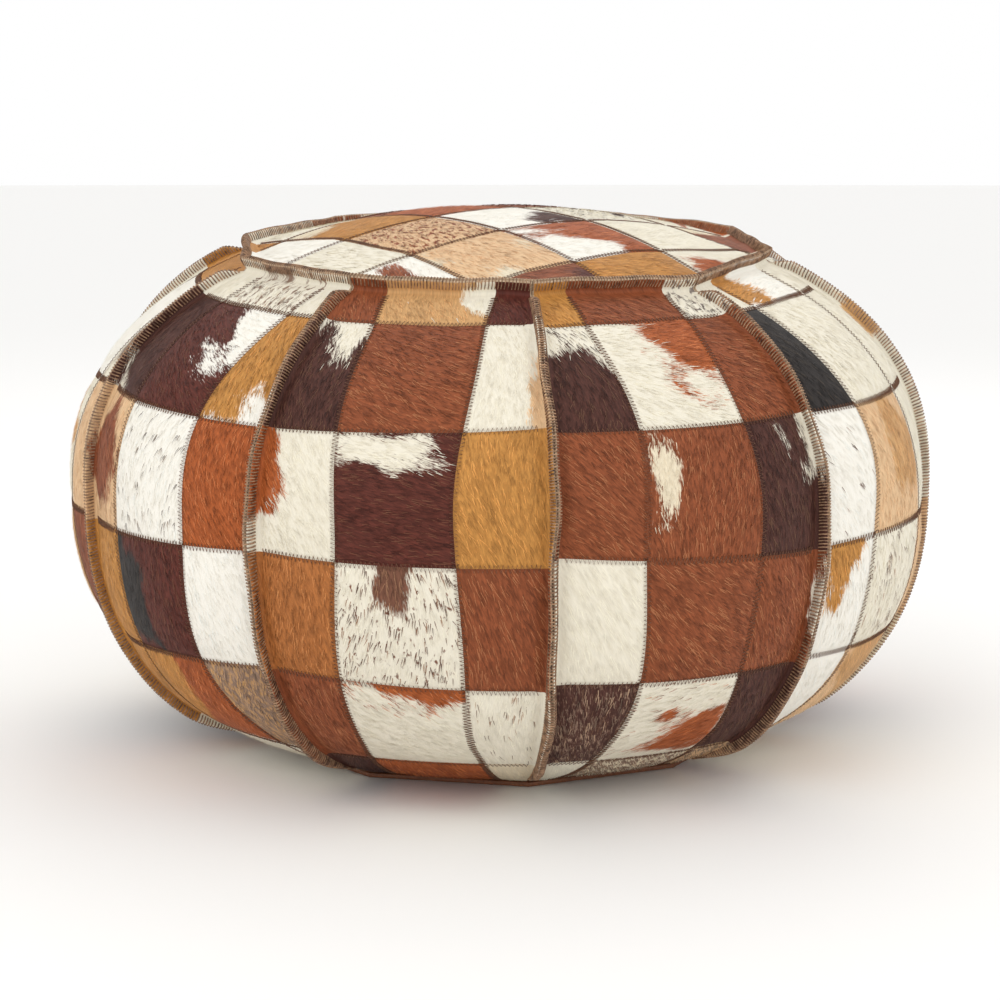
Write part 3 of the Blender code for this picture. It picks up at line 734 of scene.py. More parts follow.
    def settle(self, points: Array) -> Array:
        """Leans the top to the front and adds the unevenness of hand sewing and loose stuffing.

        Args:
            points: of the even shape.

        Returns:
            The points moved.
        """
        x, y, z = points[..., 0], points[..., 1], points[..., 2]
        share = np.clip((z - self.equator_height) / (self.rim_height - self.equator_height), 0.0, 1.0)
        height = z + self.lean * y * share
        loose = smooth((z - 0.02) / 0.06)
        turn = np.arctan2(x, -y)
        wave = sum(size * np.sin(times * turn + run * z + start) for size, times, run, start in self.waves)
        far = np.hypot(x, y)
        outward = wave * MM * loose * smooth(far / 0.12) / np.maximum(far, 1e-6)
        rim = np.exp(-(((far - self.rim_radius) / 0.035) ** 2)) * smooth((z - 0.25) / 0.05)
        ripple = sum(size * np.sin(times * turn + start) for size, times, start in self.ripples)
        height = height + rim * ripple * MM
        # One corner of the rim hangs lower, where the stuffing has gone.
        side = math.radians(self.first_seam_deg + 2.0 * self.half_deg)
        corner = (self.rim_radius * math.sin(side), -self.rim_radius * math.cos(side))
        near = np.exp(-(((x - corner[0]) ** 2 + (y - corner[1]) ** 2) / self.droop_reach**2))
        height = height - self.droop * (near * smooth((z - 0.25) / 0.05))
        return np.stack([x * (1.0 + outward), y * (1.0 + outward), height], axis=-1)


@dataclass(frozen=True)
class PatchGrid:
    """Where the seams between hide squares run on a gore, in metres."""

    column_half: float = 0.036
    row_seams: tuple[float, ...] = (-0.176, -0.0925, -0.015, 0.0755, 0.164)
    groove: float = 0.0010
    groove_half: float = 0.0016
    pillow: float = 0.0012
    pillow_reach: float = 0.012

    def relief(self, distance: Array) -> Array:
        """Height of the hide at this distance from the nearest patch seam.

        Args:
            distance: from the nearest patch seam.

        Returns:
            Height above the hide, less than zero in the groove.
        """
        dip = self.groove * np.exp(-((distance / self.groove_half) ** 2))
        rise = self.pillow * (1.0 - np.exp(-((distance / self.pillow_reach) ** 2)))
        return rise - dip


# ---- mesh and thread makers


def mesh_object(name: str, points: Array, faces: Array, materials: Iterable[Material]) -> Thing:
    """Links a smooth quad mesh made from arrays.

    Args:
        name: name of the object and its mesh.
        points: vertex positions, n by 3.
        faces: vertex numbers, m by 4.
        materials: its material slots.

    Returns:
        The object.
    """
    mesh = bpy.data.meshes.new(name)
    mesh.vertices.add(len(points))
    mesh.vertices.foreach_set("co", np.ascontiguousarray(points, np.float32).ravel())
    mesh.loops.add(faces.size)
    mesh.loops.foreach_set("vertex_index", np.ascontiguousarray(faces, np.int32).ravel())
    mesh.polygons.add(len(faces))
    mesh.polygons.foreach_set("loop_start", np.arange(0, faces.size, 4, dtype=np.int32))
    mesh.update(calc_edges=True)
    mesh.shade_smooth()
    for material in materials:
        mesh.materials.append(material)
    thing = bpy.data.objects.new(name, mesh)
    bpy.context.scene.collection.objects.link(thing)
    return thing


def grid_faces(rows: int, columns: int, wrap: bool = False) -> Array:
    """Quads of a grid of vertices numbered row by row.

    Args:
        rows: of vertices.
        columns: of vertices.
        wrap: whether the last column meets the first.

    Returns:
        Vertex numbers, n by 4.
    """
    i = np.arange(rows - 1)[:, None]
    j = np.arange(columns if wrap else columns - 1)[None, :]
    k = (j + 1) % columns
    near, far = i * columns, (i + 1) * columns
    return np.stack(np.broadcast_arrays(near + j, near + k, far + k, far + j), axis=-1).reshape(-1, 4)


def set_coats(mesh: bpy.types.Mesh, ground: Array, mark: Array, mixing: Array, place: Array) -> None:
    """Writes the corner attributes that the hide finish reads.

    Args:
        mesh: of the hide.
        ground: colour at each corner.
        mark: second colour at each corner.
        mixing: levels of splash, specks and roan.
        place: along the nap and across it.
    """
    for name, values in (("coat_ground", ground), ("coat_mark", mark)):
        layer = mesh.attributes.new(name, "FLOAT_COLOR", "CORNER")
        layer.data.foreach_set("color", np.ascontiguousarray(values, np.float32).ravel())
    for name, values in (("coat_mixing", mixing), ("nap_place", place)):
        layer = mesh.attributes.new(name, "FLOAT_VECTOR", "CORNER")
        layer.data.foreach_set("vector", np.ascontiguousarray(values, np.float32).ravel())


def value_noise(points: Array, seed: int) -> Array:
    """Smooth noise from 0 to 1 with grains one unit wide.

    Args:
        points: plan positions, n by 2.
        seed: picks the pattern.

    Returns:
        One value for each point.
    """
    base = np.floor(points).astype(np.int64)
    share = points - base
    share = share * share * (3.0 - 2.0 * share)

    def corner(right: int, up: int) -> Array:
        """Chance value at one corner of each point's cell.

        Args:
            right: 0 or 1 cells to the right.
            up: 0 or 1 cells up.

        Returns:
            Values from 0 to 1.
        """
        mixed = (base[:, 0] + right) * 374761393 + (base[:, 1] + up) * 668265263 + seed * 144269
        mixed = ((mixed ^ (mixed >> 13)) * 1274126177) & 0xFFFFFFFF
        return ((mixed ^ (mixed >> 16)) & 0xFFFF) / 65535.0

    low = corner(0, 0) + (corner(1, 0) - corner(0, 0)) * share[:, 0]
    high = corner(0, 1) + (corner(1, 1) - corner(0, 1)) * share[:, 0]
    return low + (high - low) * share[:, 1]


def layered_noise(points: Array, seed: int, layers: int = 4) -> Array:
    """Sum of ever finer noise, from -0.5 to 0.5.

    Args:
        points: plan positions, n by 2.
        seed: picks the pattern.
        layers: of noise.

    Returns:
        One value for each point.
    """
    total, weight, size = np.zeros(len(points)), 0.0, 1.0
    for layer in range(layers):
        total += size * value_noise(points * 2.03**layer, seed + 31 * layer)
        weight += size
        size *= 0.55
    return total / weight - 0.5


# Size of one blotch and of one speck of a coat, in metres.
BLOTCH = 0.026
SPECK = 0.0038


def nap_angle(coat: Coat, number: int) -> float:
    """Direction in which a patch's hair lies, in radians from its +x."""
    return math.radians(coat.nap_deg + 9.0 * math.sin(number * 2.4))


def splash_level(coat: Coat, local: Array, half: Pair, number: int) -> Array:
    """Above zero where a patch shows its mark.

    Args:
        coat: the patch's coat.
        local: positions from the patch's middle, n by 2.
        half: half width and half height of the patch.
        number: keeps each patch's noise its own.

    Returns:
        One level for each point.
    """
    offset = (local / np.array(half) - np.array(coat.at)) / np.array(coat.spread)
    nap = nap_angle(coat, number)
    turned = local @ np.array([[math.cos(nap), -math.sin(nap)], [math.sin(nap), math.cos(nap)]])
    ragged = layered_noise(turned / np.array([BLOTCH * 1.5, BLOTCH * 0.8]), number)
    return coat.size - np.hypot(offset[:, 0], offset[:, 1]) + 1.5 * ragged


def coat_values(coat: Coat, local: Array, half: Pair, number: int) -> tuple[Array, ...]:
    """Attribute values of one patch's corners.

    Args:
        coat: the patch's coat.
        local: positions from the patch's middle in metres, n by 2.
        half: half width and half height of the patch.
        number: keeps each patch's noise its own.

    Returns:
        Ground colour, mark colour, mixing levels and place along the nap.
    """
    count = len(local)
    ground = np.tile(linear(coat.ground.value), (count, 1))
    mark = np.tile(linear(coat.mark.value), (count, 1))
    level = splash_level(coat, local, half, number)
    mixing = np.stack([level, np.full(count, coat.specks), np.full(count, coat.roan)], axis=-1)
    nap = nap_angle(coat, number)
    along = local[:, 0] * math.cos(nap) + local[:, 1] * math.sin(nap)
    side = -local[:, 0] * math.sin(nap) + local[:, 1] * math.cos(nap)
    place = np.stack([along + 0.31 * number, side + 0.17 * number, np.full(count, 0.05 * number)], axis=-1)
    return ground, mark, mixing, place


def thread_mesh(lines: list[Line], radius: float, sides: int = 4) -> tuple[Array, Array]:
    """Round thread along open lines.

    Args:
        lines: for each line its points and its outward directions, both n by 3.
        radius: of the thread.
        sides: round the thread.

    Returns:
        Vertices and quads of all of them.
    """
    points, faces, start = [], [], 0
    angles = np.linspace(0.0, 2.0 * math.pi, sides, endpoint=False) + math.pi / 4.0
    for line, outward in lines:
        if len(line) < 3:
            continue
        run = np.gradient(line, axis=0)
        run /= np.linalg.norm(run, axis=1, keepdims=True) + 1e-12
        side = np.cross(run, outward)
        side /= np.linalg.norm(side, axis=1, keepdims=True) + 1e-12
        up = np.cross(side, run)
        wide, tall = np.cos(angles)[None, :, None], np.sin(angles)[None, :, None]
        ring = side[:, None, :] * wide + up[:, None, :] * tall
        tube = line[:, None, :] + radius * ring
        points.append(tube.reshape(-1, 3))
        faces.append(grid_faces(len(line), sides, wrap=True) + start)
        start += tube.shape[0] * sides
    return np.concatenate(points), np.concatenate(faces)


def thread_object(name: str, lines: list[Line], radius: float, material: Material) -> Thing:
    """One object of sewn thread."""
    points, faces = thread_mesh(lines, radius)
    return mesh_object(name, points, faces, [material])


# ---- the gores


@dataclass
class Gore:
    """One gore: three columns of hide squares, with an edge that stands up along each seam."""

    form: PoufForm
    grid: PatchGrid
    number: int
    coats: list[list[Coat]]
    row_steps: int = 22
    centre_steps: int = 24
    side_steps: int = 16
    fillet: float = 0.0024
    half_gap: float = 0.00015
    edge: float = 0.0019
    stitch_pitch: float = 0.0026
    stitch_half: float = 0.0021
    thread_radius: float = 0.00028
    # Lean of a standing seam: size, waves along it, start.
    sways: tuple[tuple[float, ...], ...] = ((0.0014, 38.0, 1.9), (0.0007, 97.0, 4.1))
    stray: float = 0.0026
    slope: float = 0.045
    # How far the rings of the turned-in foot lie inside the base's edge.
    turned_in: tuple[float, ...] = (0.011, 0.006, 0.002)
    turned_up: float = 0.013

    @property
    def name(self) -> str:
        """The gore's name."""
        return f"gore_{self.number + 1:02d}"

    def seam_sway(self, seam: int, arc: Array) -> Array:
        """How far a standing seam leans to one side."""
        seam = seam % self.form.gore_count
        return sum(size * np.sin(arc * run + seam * start) for size, run, start in self.sways)

    @property
    def sheet_marks(self) -> list[float]:
        """Arc lengths of the hide's foot, of its patch seams and of its rim."""
        low, high = self.form.arc_span
        return [low - self.turned_in[0], *self.grid.row_seams, high + self.turned_up]

    def patch(self, row: int, column: int) -> tuple[Coat, int]:
        """Coat and number of one patch, its row counted from the foot."""
        return self.coats[-1 - row][column], (self.number * 6 + row) * 3 + column

    def drift(self, across_m: Array, arc: Array) -> tuple[Array, Array]:
        """How far the hand-cut patches stray, across the gore and along it.

        Args:
            across_m: distance from the gore's middle line.
            arc: arc length from the widest ring.

        Returns:
            The shift across and the shift along.
        """
        low, high = self.form.arc_span
        held = smooth((arc - low - 0.065) / 0.03) * smooth((high - 0.012 - arc) / 0.03)
        reach = math.radians(self.form.half_deg) * self.form.read("radius", arc) - 0.006
        middle = np.clip(1.0 - (across_m / reach) ** 2, 0.0, 1.0)
        aside = self.stray * np.sin(arc * 34.0 + self.number * 1.7 + across_m * 30.0) * middle
        slope = self.slope * np.sin(self.number * 2.9 + arc * 17.0 - 1.2)
        return aside * held, slope * np.clip(across_m, -reach, reach) * held

    def skin(self, within_deg: Array, arc: Array, lift: Array) -> Array:
        """World points over the wall of the gore, lift above its hair side.

        Args:
            within_deg: angle from the gore's middle.
            arc: arc length from the widest ring.
            lift: above the hair side.

        Returns:
            World points.
        """
        form = self.form
        ring = form.read("radius", arc)
        aside, along = self.drift(np.radians(within_deg) * ring, arc)
        within_deg, arc = within_deg + np.degrees(aside / ring), arc + along
        radius = form.read("radius", arc) + lift * form.read("out_r", arc)
        height = form.read("height", arc) + lift * form.read("out_h", arc)
        turn = (self.number + 0.5) * 2.0 * form.half_deg + within_deg
        return form.world(turn, radius, height, form.swell(arc))

    def patch_relief(self, across_m: Array, arc: Array, half_width: Array) -> Array:
        """Relief of the patches, flat towards the standing seams.

        Args:
            across_m: distance from the gore's middle line.
            arc: arc length from the widest ring.
            half_width: of the gore there.

        Returns:
            Height above the hair side.
        """
        near = np.abs(np.abs(across_m) - self.grid.column_half)
        for seam in self.grid.row_seams:
            near = np.minimum(near, np.abs(arc - seam))
        fade = smooth((half_width - np.abs(across_m) - 0.005) / 0.006)
        low, high = self.form.arc_span
        fade = fade * smooth((high - arc) / 0.010) * smooth((arc - low) / 0.020)
        return self.grid.relief(near) * fade

    def row_arcs(self) -> Array:
        """Arc lengths of the mesh rows, closer beside each patch seam.

        Returns:
            Arc lengths, foot first.
        """
        low, high = self.form.arc_span
        marks = [low, *self.grid.row_seams, high]
        rows = [clustered(a, b, self.row_steps)[:-1] for a, b in zip(marks, marks[1:])]
        return np.concatenate([*rows, [high]])

    def rim_line(self) -> list[Pair]:
        """Hair side, cut edge and flesh side of the edge that stands along the rim.

        Returns:
            Radius and height of each ring.
        """
        stand = math.radians(self.form.rim_stand_deg)
        along, out = (math.cos(stand), math.sin(stand)), (math.sin(stand), -math.cos(stand))
        tip = self.form.rim_tip

        def at(down: float, side: float) -> Pair:
            """A point below the tip and to one side of it."""
            return tip[0] - down * along[0] + side * out[0], tip[1] - down * along[1] + side * out[1]

        hair = [at(d, self.edge) for d in (0.0082, 0.0066, 0.0050, 0.0034, 0.0018, 0.0006)]
        cut = [at(-0.0002, 0.0015), at(0.0, 0.0010), at(-0.0001, 0.0005)]
        return [*hair, *cut, at(0.0006, 0.0001), at(0.0060, 0.0001)]

    def build(self, hide: Material, cut: Material) -> Thing:
        """Makes the hide of the gore.

        Args:
            hide: material of the hair side.
            cut: material of the cut edges.

        Returns:
            The hide.
        """
        form = self.form
        arcs = self.row_arcs()
        low, high = form.arc_span
        foot = [(form.foot_radius - d, form.foot_height - 0.0001) for d in self.turned_in]
        rim = self.rim_line()
        radius = np.concatenate([[p[0] for p in foot], form.read("radius", arcs), [p[0] for p in rim]])
        height = np.concatenate([[p[1] for p in foot], form.read("height", arcs), [p[1] for p in rim]])
        out_r = np.concatenate([np.zeros(3), form.read("out_r", arcs), np.full(len(rim), 0.88)])
        out_h = np.concatenate([-np.ones(3), form.read("out_h", arcs), np.full(len(rim), -0.47)])
        edge_arc = high + np.linspace(0.001, self.turned_up, len(rim))
        sheet_arc = np.concatenate([low - np.array(self.turned_in), arcs, edge_arc])
        wall = np.concatenate([np.zeros(3), np.ones(len(arcs)), np.zeros(len(rim))])
        arc = np.clip(sheet_arc, low, high)
        stand = form.stand(arc) * wall
        swell = form.swell(arc) * wall

        rows = len(radius)
        col = np.ones((rows, 1))
        radius, height, out_r, out_h, stand, swell, arc, sheet = (
            v[:, None] * col for v in (radius, height, out_r, out_h, stand, swell, arc, sheet_arc)
        )
        half_m = np.radians(form.half_deg) * radius
        share = np.clip(stand / form.seam_stand, 0.0, 1.0)
        face = self.half_gap + self.edge
        skin_edge = face + self.fillet

        def angle_at(inset: Array) -> Array:
            """Angle from the gore's middle at this distance from its seam."""
            return form.half_deg - np.degrees(np.arcsin(np.clip(inset / radius, 0.0, 0.5)))

        centre_m = clustered(-self.grid.column_half, self.grid.column_half, self.centre_steps)[None, :] * col
        centre_deg = np.degrees(centre_m / radius)
        seam_deg = np.degrees(self.grid.column_half / radius)
        side_share = clustered(0.0, 1.0, self.side_steps)[1:][None, :]
        side_deg = seam_deg + (angle_at(np.full_like(radius, skin_edge)) - seam_deg) * side_share

        # Outward from the skin: the fillet, the standing face, then the cut edge.
        bend = np.radians([25.0, 50.0, 75.0, 90.0])[None, :]
        fin_inset = [skin_edge - self.fillet * np.sin(bend) * col]
        fin_lift = [self.fillet * (1.0 - np.cos(bend)) * share]
        top = np.maximum(stand, 0.0)
        for part, inset in ((0.45, face), (0.70, face), (0.90, face - 0.0001), (0.985, face - 0.0004)):
            fin_inset.append(np.full_like(radius, inset))
            fin_lift.append(np.maximum(top * part, self.fillet * share))
        gap = self.half_gap
        for inset, drop in ((0.0012, 0.0), (0.0006, 0.0002), (gap, 0.0010), (gap, 0.0060)):
            fin_inset.append(np.full_like(radius, inset))
            fin_lift.append(np.maximum(top - drop, -0.001))
        fin_inset, fin_lift = np.hstack(fin_inset), np.hstack(fin_lift)
        fin_deg = angle_at(fin_inset)

        def sway_deg(seam: int) -> Array:
            """Lean of the standing edge along one seam."""
            bent = np.clip(fin_lift / form.seam_stand, 0.0, 1.0) ** 1.5
            return np.degrees(self.seam_sway(seam, arc) * bent / radius)

        left_fin = (-fin_deg + sway_deg(self.number))[:, ::-1]
        right_fin = fin_deg + sway_deg(self.number + 1)
        within = np.hstack([left_fin, -side_deg[:, ::-1], centre_deg, side_deg, right_fin])
        lift = self.patch_relief(np.radians(within) * radius, sheet, half_m) * wall[:, None]
        fins = fin_lift.shape[1]
        lift[:, :fins] = fin_lift[:, ::-1]
        lift[:, -fins:] = fin_lift
        sheet_x = np.radians(within) * radius
        aside, along = (shift * wall[:, None] for shift in self.drift(sheet_x, sheet + 0.0 * within))
        within = within + np.degrees(aside / radius)
        moved = arc + along
        on_wall = (wall[:, None] > 0.5) & (along != 0.0)
        profile = {"radius": radius, "height": height, "out_r": out_r, "out_h": out_h}
        shifted = {name: np.where(on_wall, form.read(name, moved), old) for name, old in profile.items()}
        reach_r = shifted["radius"] + lift * shifted["out_r"]
        reach_h = shifted["height"] + lift * shifted["out_h"]
        swell = np.where(on_wall, form.swell(moved), swell)
        turn = (self.number + 0.5) * 2.0 * form.half_deg + within
        held = np.clip(within, -form.half_deg, form.half_deg)
        points = form.place(turn, reach_r * form.across(held, swell), reach_h)

        sheet_x[:, :fins] -= fin_lift[:, ::-1]
        sheet_x[:, -fins:] += fin_lift
        columns = within.shape[1]
        faces = grid_faces(rows, columns)
        gore = mesh_object(f"{self.name}_hide", points.reshape(-1, 3), faces, [hide, cut])
        cell = np.arange(len(faces))
        face_row, face_column = cell // (columns - 1), cell % (columns - 1)
        # The outermost columns and the last rows are the raw edges.
        in_cut = (face_column < 3) | (face_column >= columns - 4)
        in_cut |= face_row >= len(foot) + len(arcs) + 5
        gore.data.polygons.foreach_set("material_index", in_cut.astype(np.int32))
        sheet_arc = np.broadcast_to(sheet, within.shape)
        self.paint(gore.data, faces, face_row, face_column, sheet_x.ravel(), sheet_arc.ravel(), fins)
        return gore

    def paint(
        self,
        mesh: bpy.types.Mesh,
        faces: Array,
        face_row: Array,
        face_column: Array,
        sheet_x: Array,
        sheet_arc: Array,
        fins: int,
    ) -> None:
        """Gives every face corner the coat of its patch.

        Args:
            mesh: of the gore.
            faces: its quads.
            face_row: row of each quad.
            face_column: column of each quad.
            sheet_x: distance of each vertex from the middle line.
            sheet_arc: arc length of each vertex.
            fins: columns of each standing edge.
        """
        marks = self.sheet_marks
        patch_row = np.clip((face_row - 3) // self.row_steps, 0, len(marks) - 2)
        first = fins + self.side_steps
        last = first + self.centre_steps
        patch_column = np.where(face_column < first, 0, np.where(face_column < last, 1, 2))
        ground = np.zeros((len(faces), 4, 4))
        mark = np.zeros((len(faces), 4, 4))
        mixing = np.zeros((len(faces), 4, 3))
        place = np.zeros((len(faces), 4, 3))
        half = self.grid.column_half
        for r in range(len(marks) - 1):
            for c in range(3):
                chosen = (patch_row == r) & (patch_column == c)
                corners = faces[chosen]
                local_x = sheet_x[corners] - (c - 1) * 2.0 * half
                middle = (marks[r] + marks[r + 1]) / 2.0
                local = np.stack([local_x, sheet_arc[corners] - middle], axis=-1).reshape(-1, 2)
                coat, number = self.patch(r, c)
                values = coat_values(coat, local, (half, (marks[r + 1] - marks[r]) / 2.0), number)
                for target, value in zip((ground, mark, mixing, place), values):
                    target[chosen] = value.reshape(-1, 4, value.shape[-1])
        set_coats(mesh, ground, mark, mixing, place)

    def zigzag(self, along: Array, fixed: Array, upright: bool) -> Line:
        """Lays zigzag thread along one patch seam.

        Args:
            along: the points, measured along the seam.
            fixed: where the seam lies.
            upright: whether it runs from foot to rim.

        Returns:
            Points and outward directions.
        """
        swing = np.where(np.arange(len(along)) % 2 == 0, 1.0, -1.0) * self.stitch_half
        jitter = np.sin(np.arange(len(along)) * 12.9898 + self.number) * 43758.5453
        swing = swing * (1.0 + 0.22 * ((jitter - np.floor(jitter)) - 0.5))
        across_m, arc = (fixed + swing, along) if upright else (along, fixed + swing)
        radius = self.form.read("radius", arc)
        within = np.degrees(across_m / radius)
        half_m = np.radians(self.form.half_deg) * radius
        relief = self.patch_relief(across_m, arc, half_m) + self.thread_radius * 1.3
        line = self.skin(within, arc, relief)
        outward = self.skin(within, arc, relief + 0.001) - line
        return line, outward / np.linalg.norm(outward, axis=1, keepdims=True)

    def build_stitches(self, thread: Material) -> Thing:
        """Makes the zigzag thread that joins the patches of this gore.

        Args:
            thread: its material.

        Returns:
            The thread as one object.
        """
        low, high = self.form.arc_span
        lines = []
        step = self.stitch_pitch / 2.0
        for side in (-1.0, 1.0):
            arc = np.arange(low + 0.004, high - 0.002, step)
            lines.append(self.zigzag(arc, np.full(len(arc), side * self.grid.column_half), True))
        for seam in self.grid.row_seams:
            radius = float(self.form.read("radius", np.array(seam)))
            reach = math.radians(self.form.half_deg) * radius - 0.0062
            across_m = np.arange(-reach, reach, step)
            lines.append(self.zigzag(across_m, np.full(len(across_m), seam), False))
        return thread_object(f"{self.name}_zigzag_thread", lines, self.thread_radius, thread)


@dataclass
class StandingSeam:
    """Thread cast over the two raw edges where one gore meets the next."""

    form: PoufForm
    gore: Gore
    number: int
    pitch: float = 0.0021
    depth: float = 0.0056
    thread_radius: float = 0.00052

    def build(self, thread: Material) -> Thing:
        """Makes the overcast thread from the foot to the rim.

        Args:
            thread: its material.

        Returns:
            The thread as one object.
        """
        form = self.form
        low, high = form.arc_span
        starts = np.arange(low + 0.022, high - 0.004, self.pitch)
        cast = self.gore.half_gap + self.gore.edge + self.thread_radius * 0.8
        # One stitch over the edges, from its left foot to its right:
        # side, inset, drop from the top, share of the pitch.
        stitch = [(-1, cast, self.depth, 0.0), (-1, cast + 0.0001, 0.0030, 0.30)]
        stitch += [(-1, cast - 0.0002, 0.0006, 0.42), (-1, 0.0010, -0.0004, 0.46)]
        stitch += [(1, 0.0010, -0.0004, 0.54), (1, cast - 0.0002, 0.0006, 0.58)]
        stitch += [(1, cast + 0.0001, 0.0030, 0.70), (1, cast, self.depth, 1.0)]
        side, inset, drop, share = (np.array([s[k] for s in stitch], float) for k in range(4))
        ones = np.ones((len(starts), 1))
        uneven = 0.25 * np.sin(np.arange(len(starts)) * 7.3 + self.number)
        arc = starts[:, None] + (share[None, :] * 0.8 + uneven[:, None] * 0.4) * self.pitch
        signed = (side * inset)[None, :] * ones
        drop = drop[None, :] * ones
        arc, signed, drop = arc.ravel(), signed.ravel(), drop.ravel()
        stand = form.stand(arc)
        lift = np.maximum(stand - drop, np.minimum(stand * 0.6, 0.0012) + self.thread_radius)
        radius = form.read("radius", arc) + lift * form.read("out_r", arc)
        height = form.read("height", arc) + lift * form.read("out_h", arc)
        bent = np.clip(lift / form.seam_stand, 0.0, 1.0) ** 1.5
        shift = signed + self.gore.seam_sway(self.number, arc) * bent
        turn = self.number * 2.0 * form.half_deg + np.degrees(np.arcsin(shift / radius))
        within = form.half_deg - np.abs(np.degrees(np.arcsin(signed / radius)))
        reach = radius * form.across(within, form.swell(arc))
        line = form.place(turn, reach, height)
        centre = np.radians(form.first_seam_deg + self.number * 2.0 * form.half_deg)
        out_r, out_h = form.read("out_r", arc), form.read("out_h", arc)
        tangent = np.array([math.cos(centre), math.sin(centre), 0.0])
        outward = np.stack([out_r * math.sin(centre), -out_r * math.cos(centre), out_h], axis=-1)
        outward = outward * np.clip(1.0 - drop / 0.004, 0.15, 1.0)[:, None]
        outward = outward + np.sign(signed)[:, None] * tangent
        outward /= np.linalg.norm(outward, axis=1, keepdims=True)
        lines = list(zip(np.split(line, len(starts)), np.split(outward, len(starts))))
        return thread_object(f"seam_thread_{self.number + 1:02d}", lines, self.thread_radius, thread)


@dataclass
class RimSeam:
    """Thread cast over the raw edges where the gores meet the top."""

    form: PoufForm
    edge: float = 0.0017
    pitch: float = 0.0021
    depth: float = 0.0060
    thread_radius: float = 0.00042

    def build(self, thread: Material) -> Thing:
        """Makes the overcast thread all round the rim.

        Args:
            thread: its material.

        Returns:
            The thread as one object.
        """
        form = self.form
        perimeter = 2.0 * form.gore_count * form.rim_radius * math.sin(math.radians(form.half_deg))
        count = int(perimeter / self.pitch)
        stand = math.radians(form.rim_stand_deg)
        along = np.array([math.cos(stand), math.sin(stand)])
        out = np.array([math.sin(stand), -math.cos(stand)])
        cast = self.edge + self.thread_radius * 0.8
        # One stitch from its foot below the edges, over them, to its foot above:
        # down from the tip, side, share of the pitch.
        stitch = [(self.depth, cast, 0.0), (0.0030, cast + 0.0001, 0.30)]
        stitch += [(0.0004, cast - 0.0002, 0.42), (-0.0006, 0.0011, 0.46)]
        stitch += [(-0.0006, -0.0011, 0.54), (0.0004, -cast + 0.0002, 0.58)]
        stitch += [(0.0030, -cast - 0.0001, 0.70), (self.depth, -cast, 1.0)]
        reach, aside, share = (np.array([s[k] for s in stitch]) for k in range(3))
        step = 360.0 / count
        uneven = 0.10 * np.sin(np.arange(count) * 7.3)
        turn = (np.arange(count)[:, None] + share[None, :] * 0.8 + uneven[:, None]) * step
        down = reach[None, :] * np.ones_like(turn)
        side = aside[None, :] * np.ones_like(turn)
        radius = form.rim_tip[0] - down * along[0] + side * out[0]
        height = form.rim_tip[1] - down * along[1] + side * out[1]
        line = form.world(turn.ravel(), radius.ravel(), height.ravel(), np.zeros(turn.size))
        azimuth = np.radians(form.first_seam_deg + turn.ravel())
        upright = np.clip(1.0 - down.ravel() / 0.004, 0.1, 1.0)[:, None]
        lean = np.sign(side.ravel())[:, None] * out + upright * along
        outward = np.stack([lean[:, 0] * np.sin(azimuth), -lean[:, 0] * np.cos(azimuth), lean[:, 1]], axis=-1)
        outward /= np.linalg.norm(outward, axis=1, keepdims=True)
        lines = list(zip(np.split(line, count), np.split(outward, count)))
        return thread_object("rim_seam_thread", lines, self.thread_radius, thread)


# ---- the top


def clip_to_sides(work: bmesh.types.BMesh, normals: list[Pair], reach: float) -> None:
    """Cuts away what lies outside a regular polygon given by its side directions.

    Args:
        work: the mesh to cut.
        normals: outward directions of the sides.
        reach: of each side from the axis.
    """
    for nx, ny in normals:
        geometry = work.verts[:] + work.edges[:] + work.faces[:]
        bmesh.ops.bisect_plane(
            work,
            geom=geometry,
            dist=1e-7,
            plane_co=(nx * reach, ny * reach, 0.0),
            plane_no=(nx, ny, 0.0),
            clear_outer=True,
        )


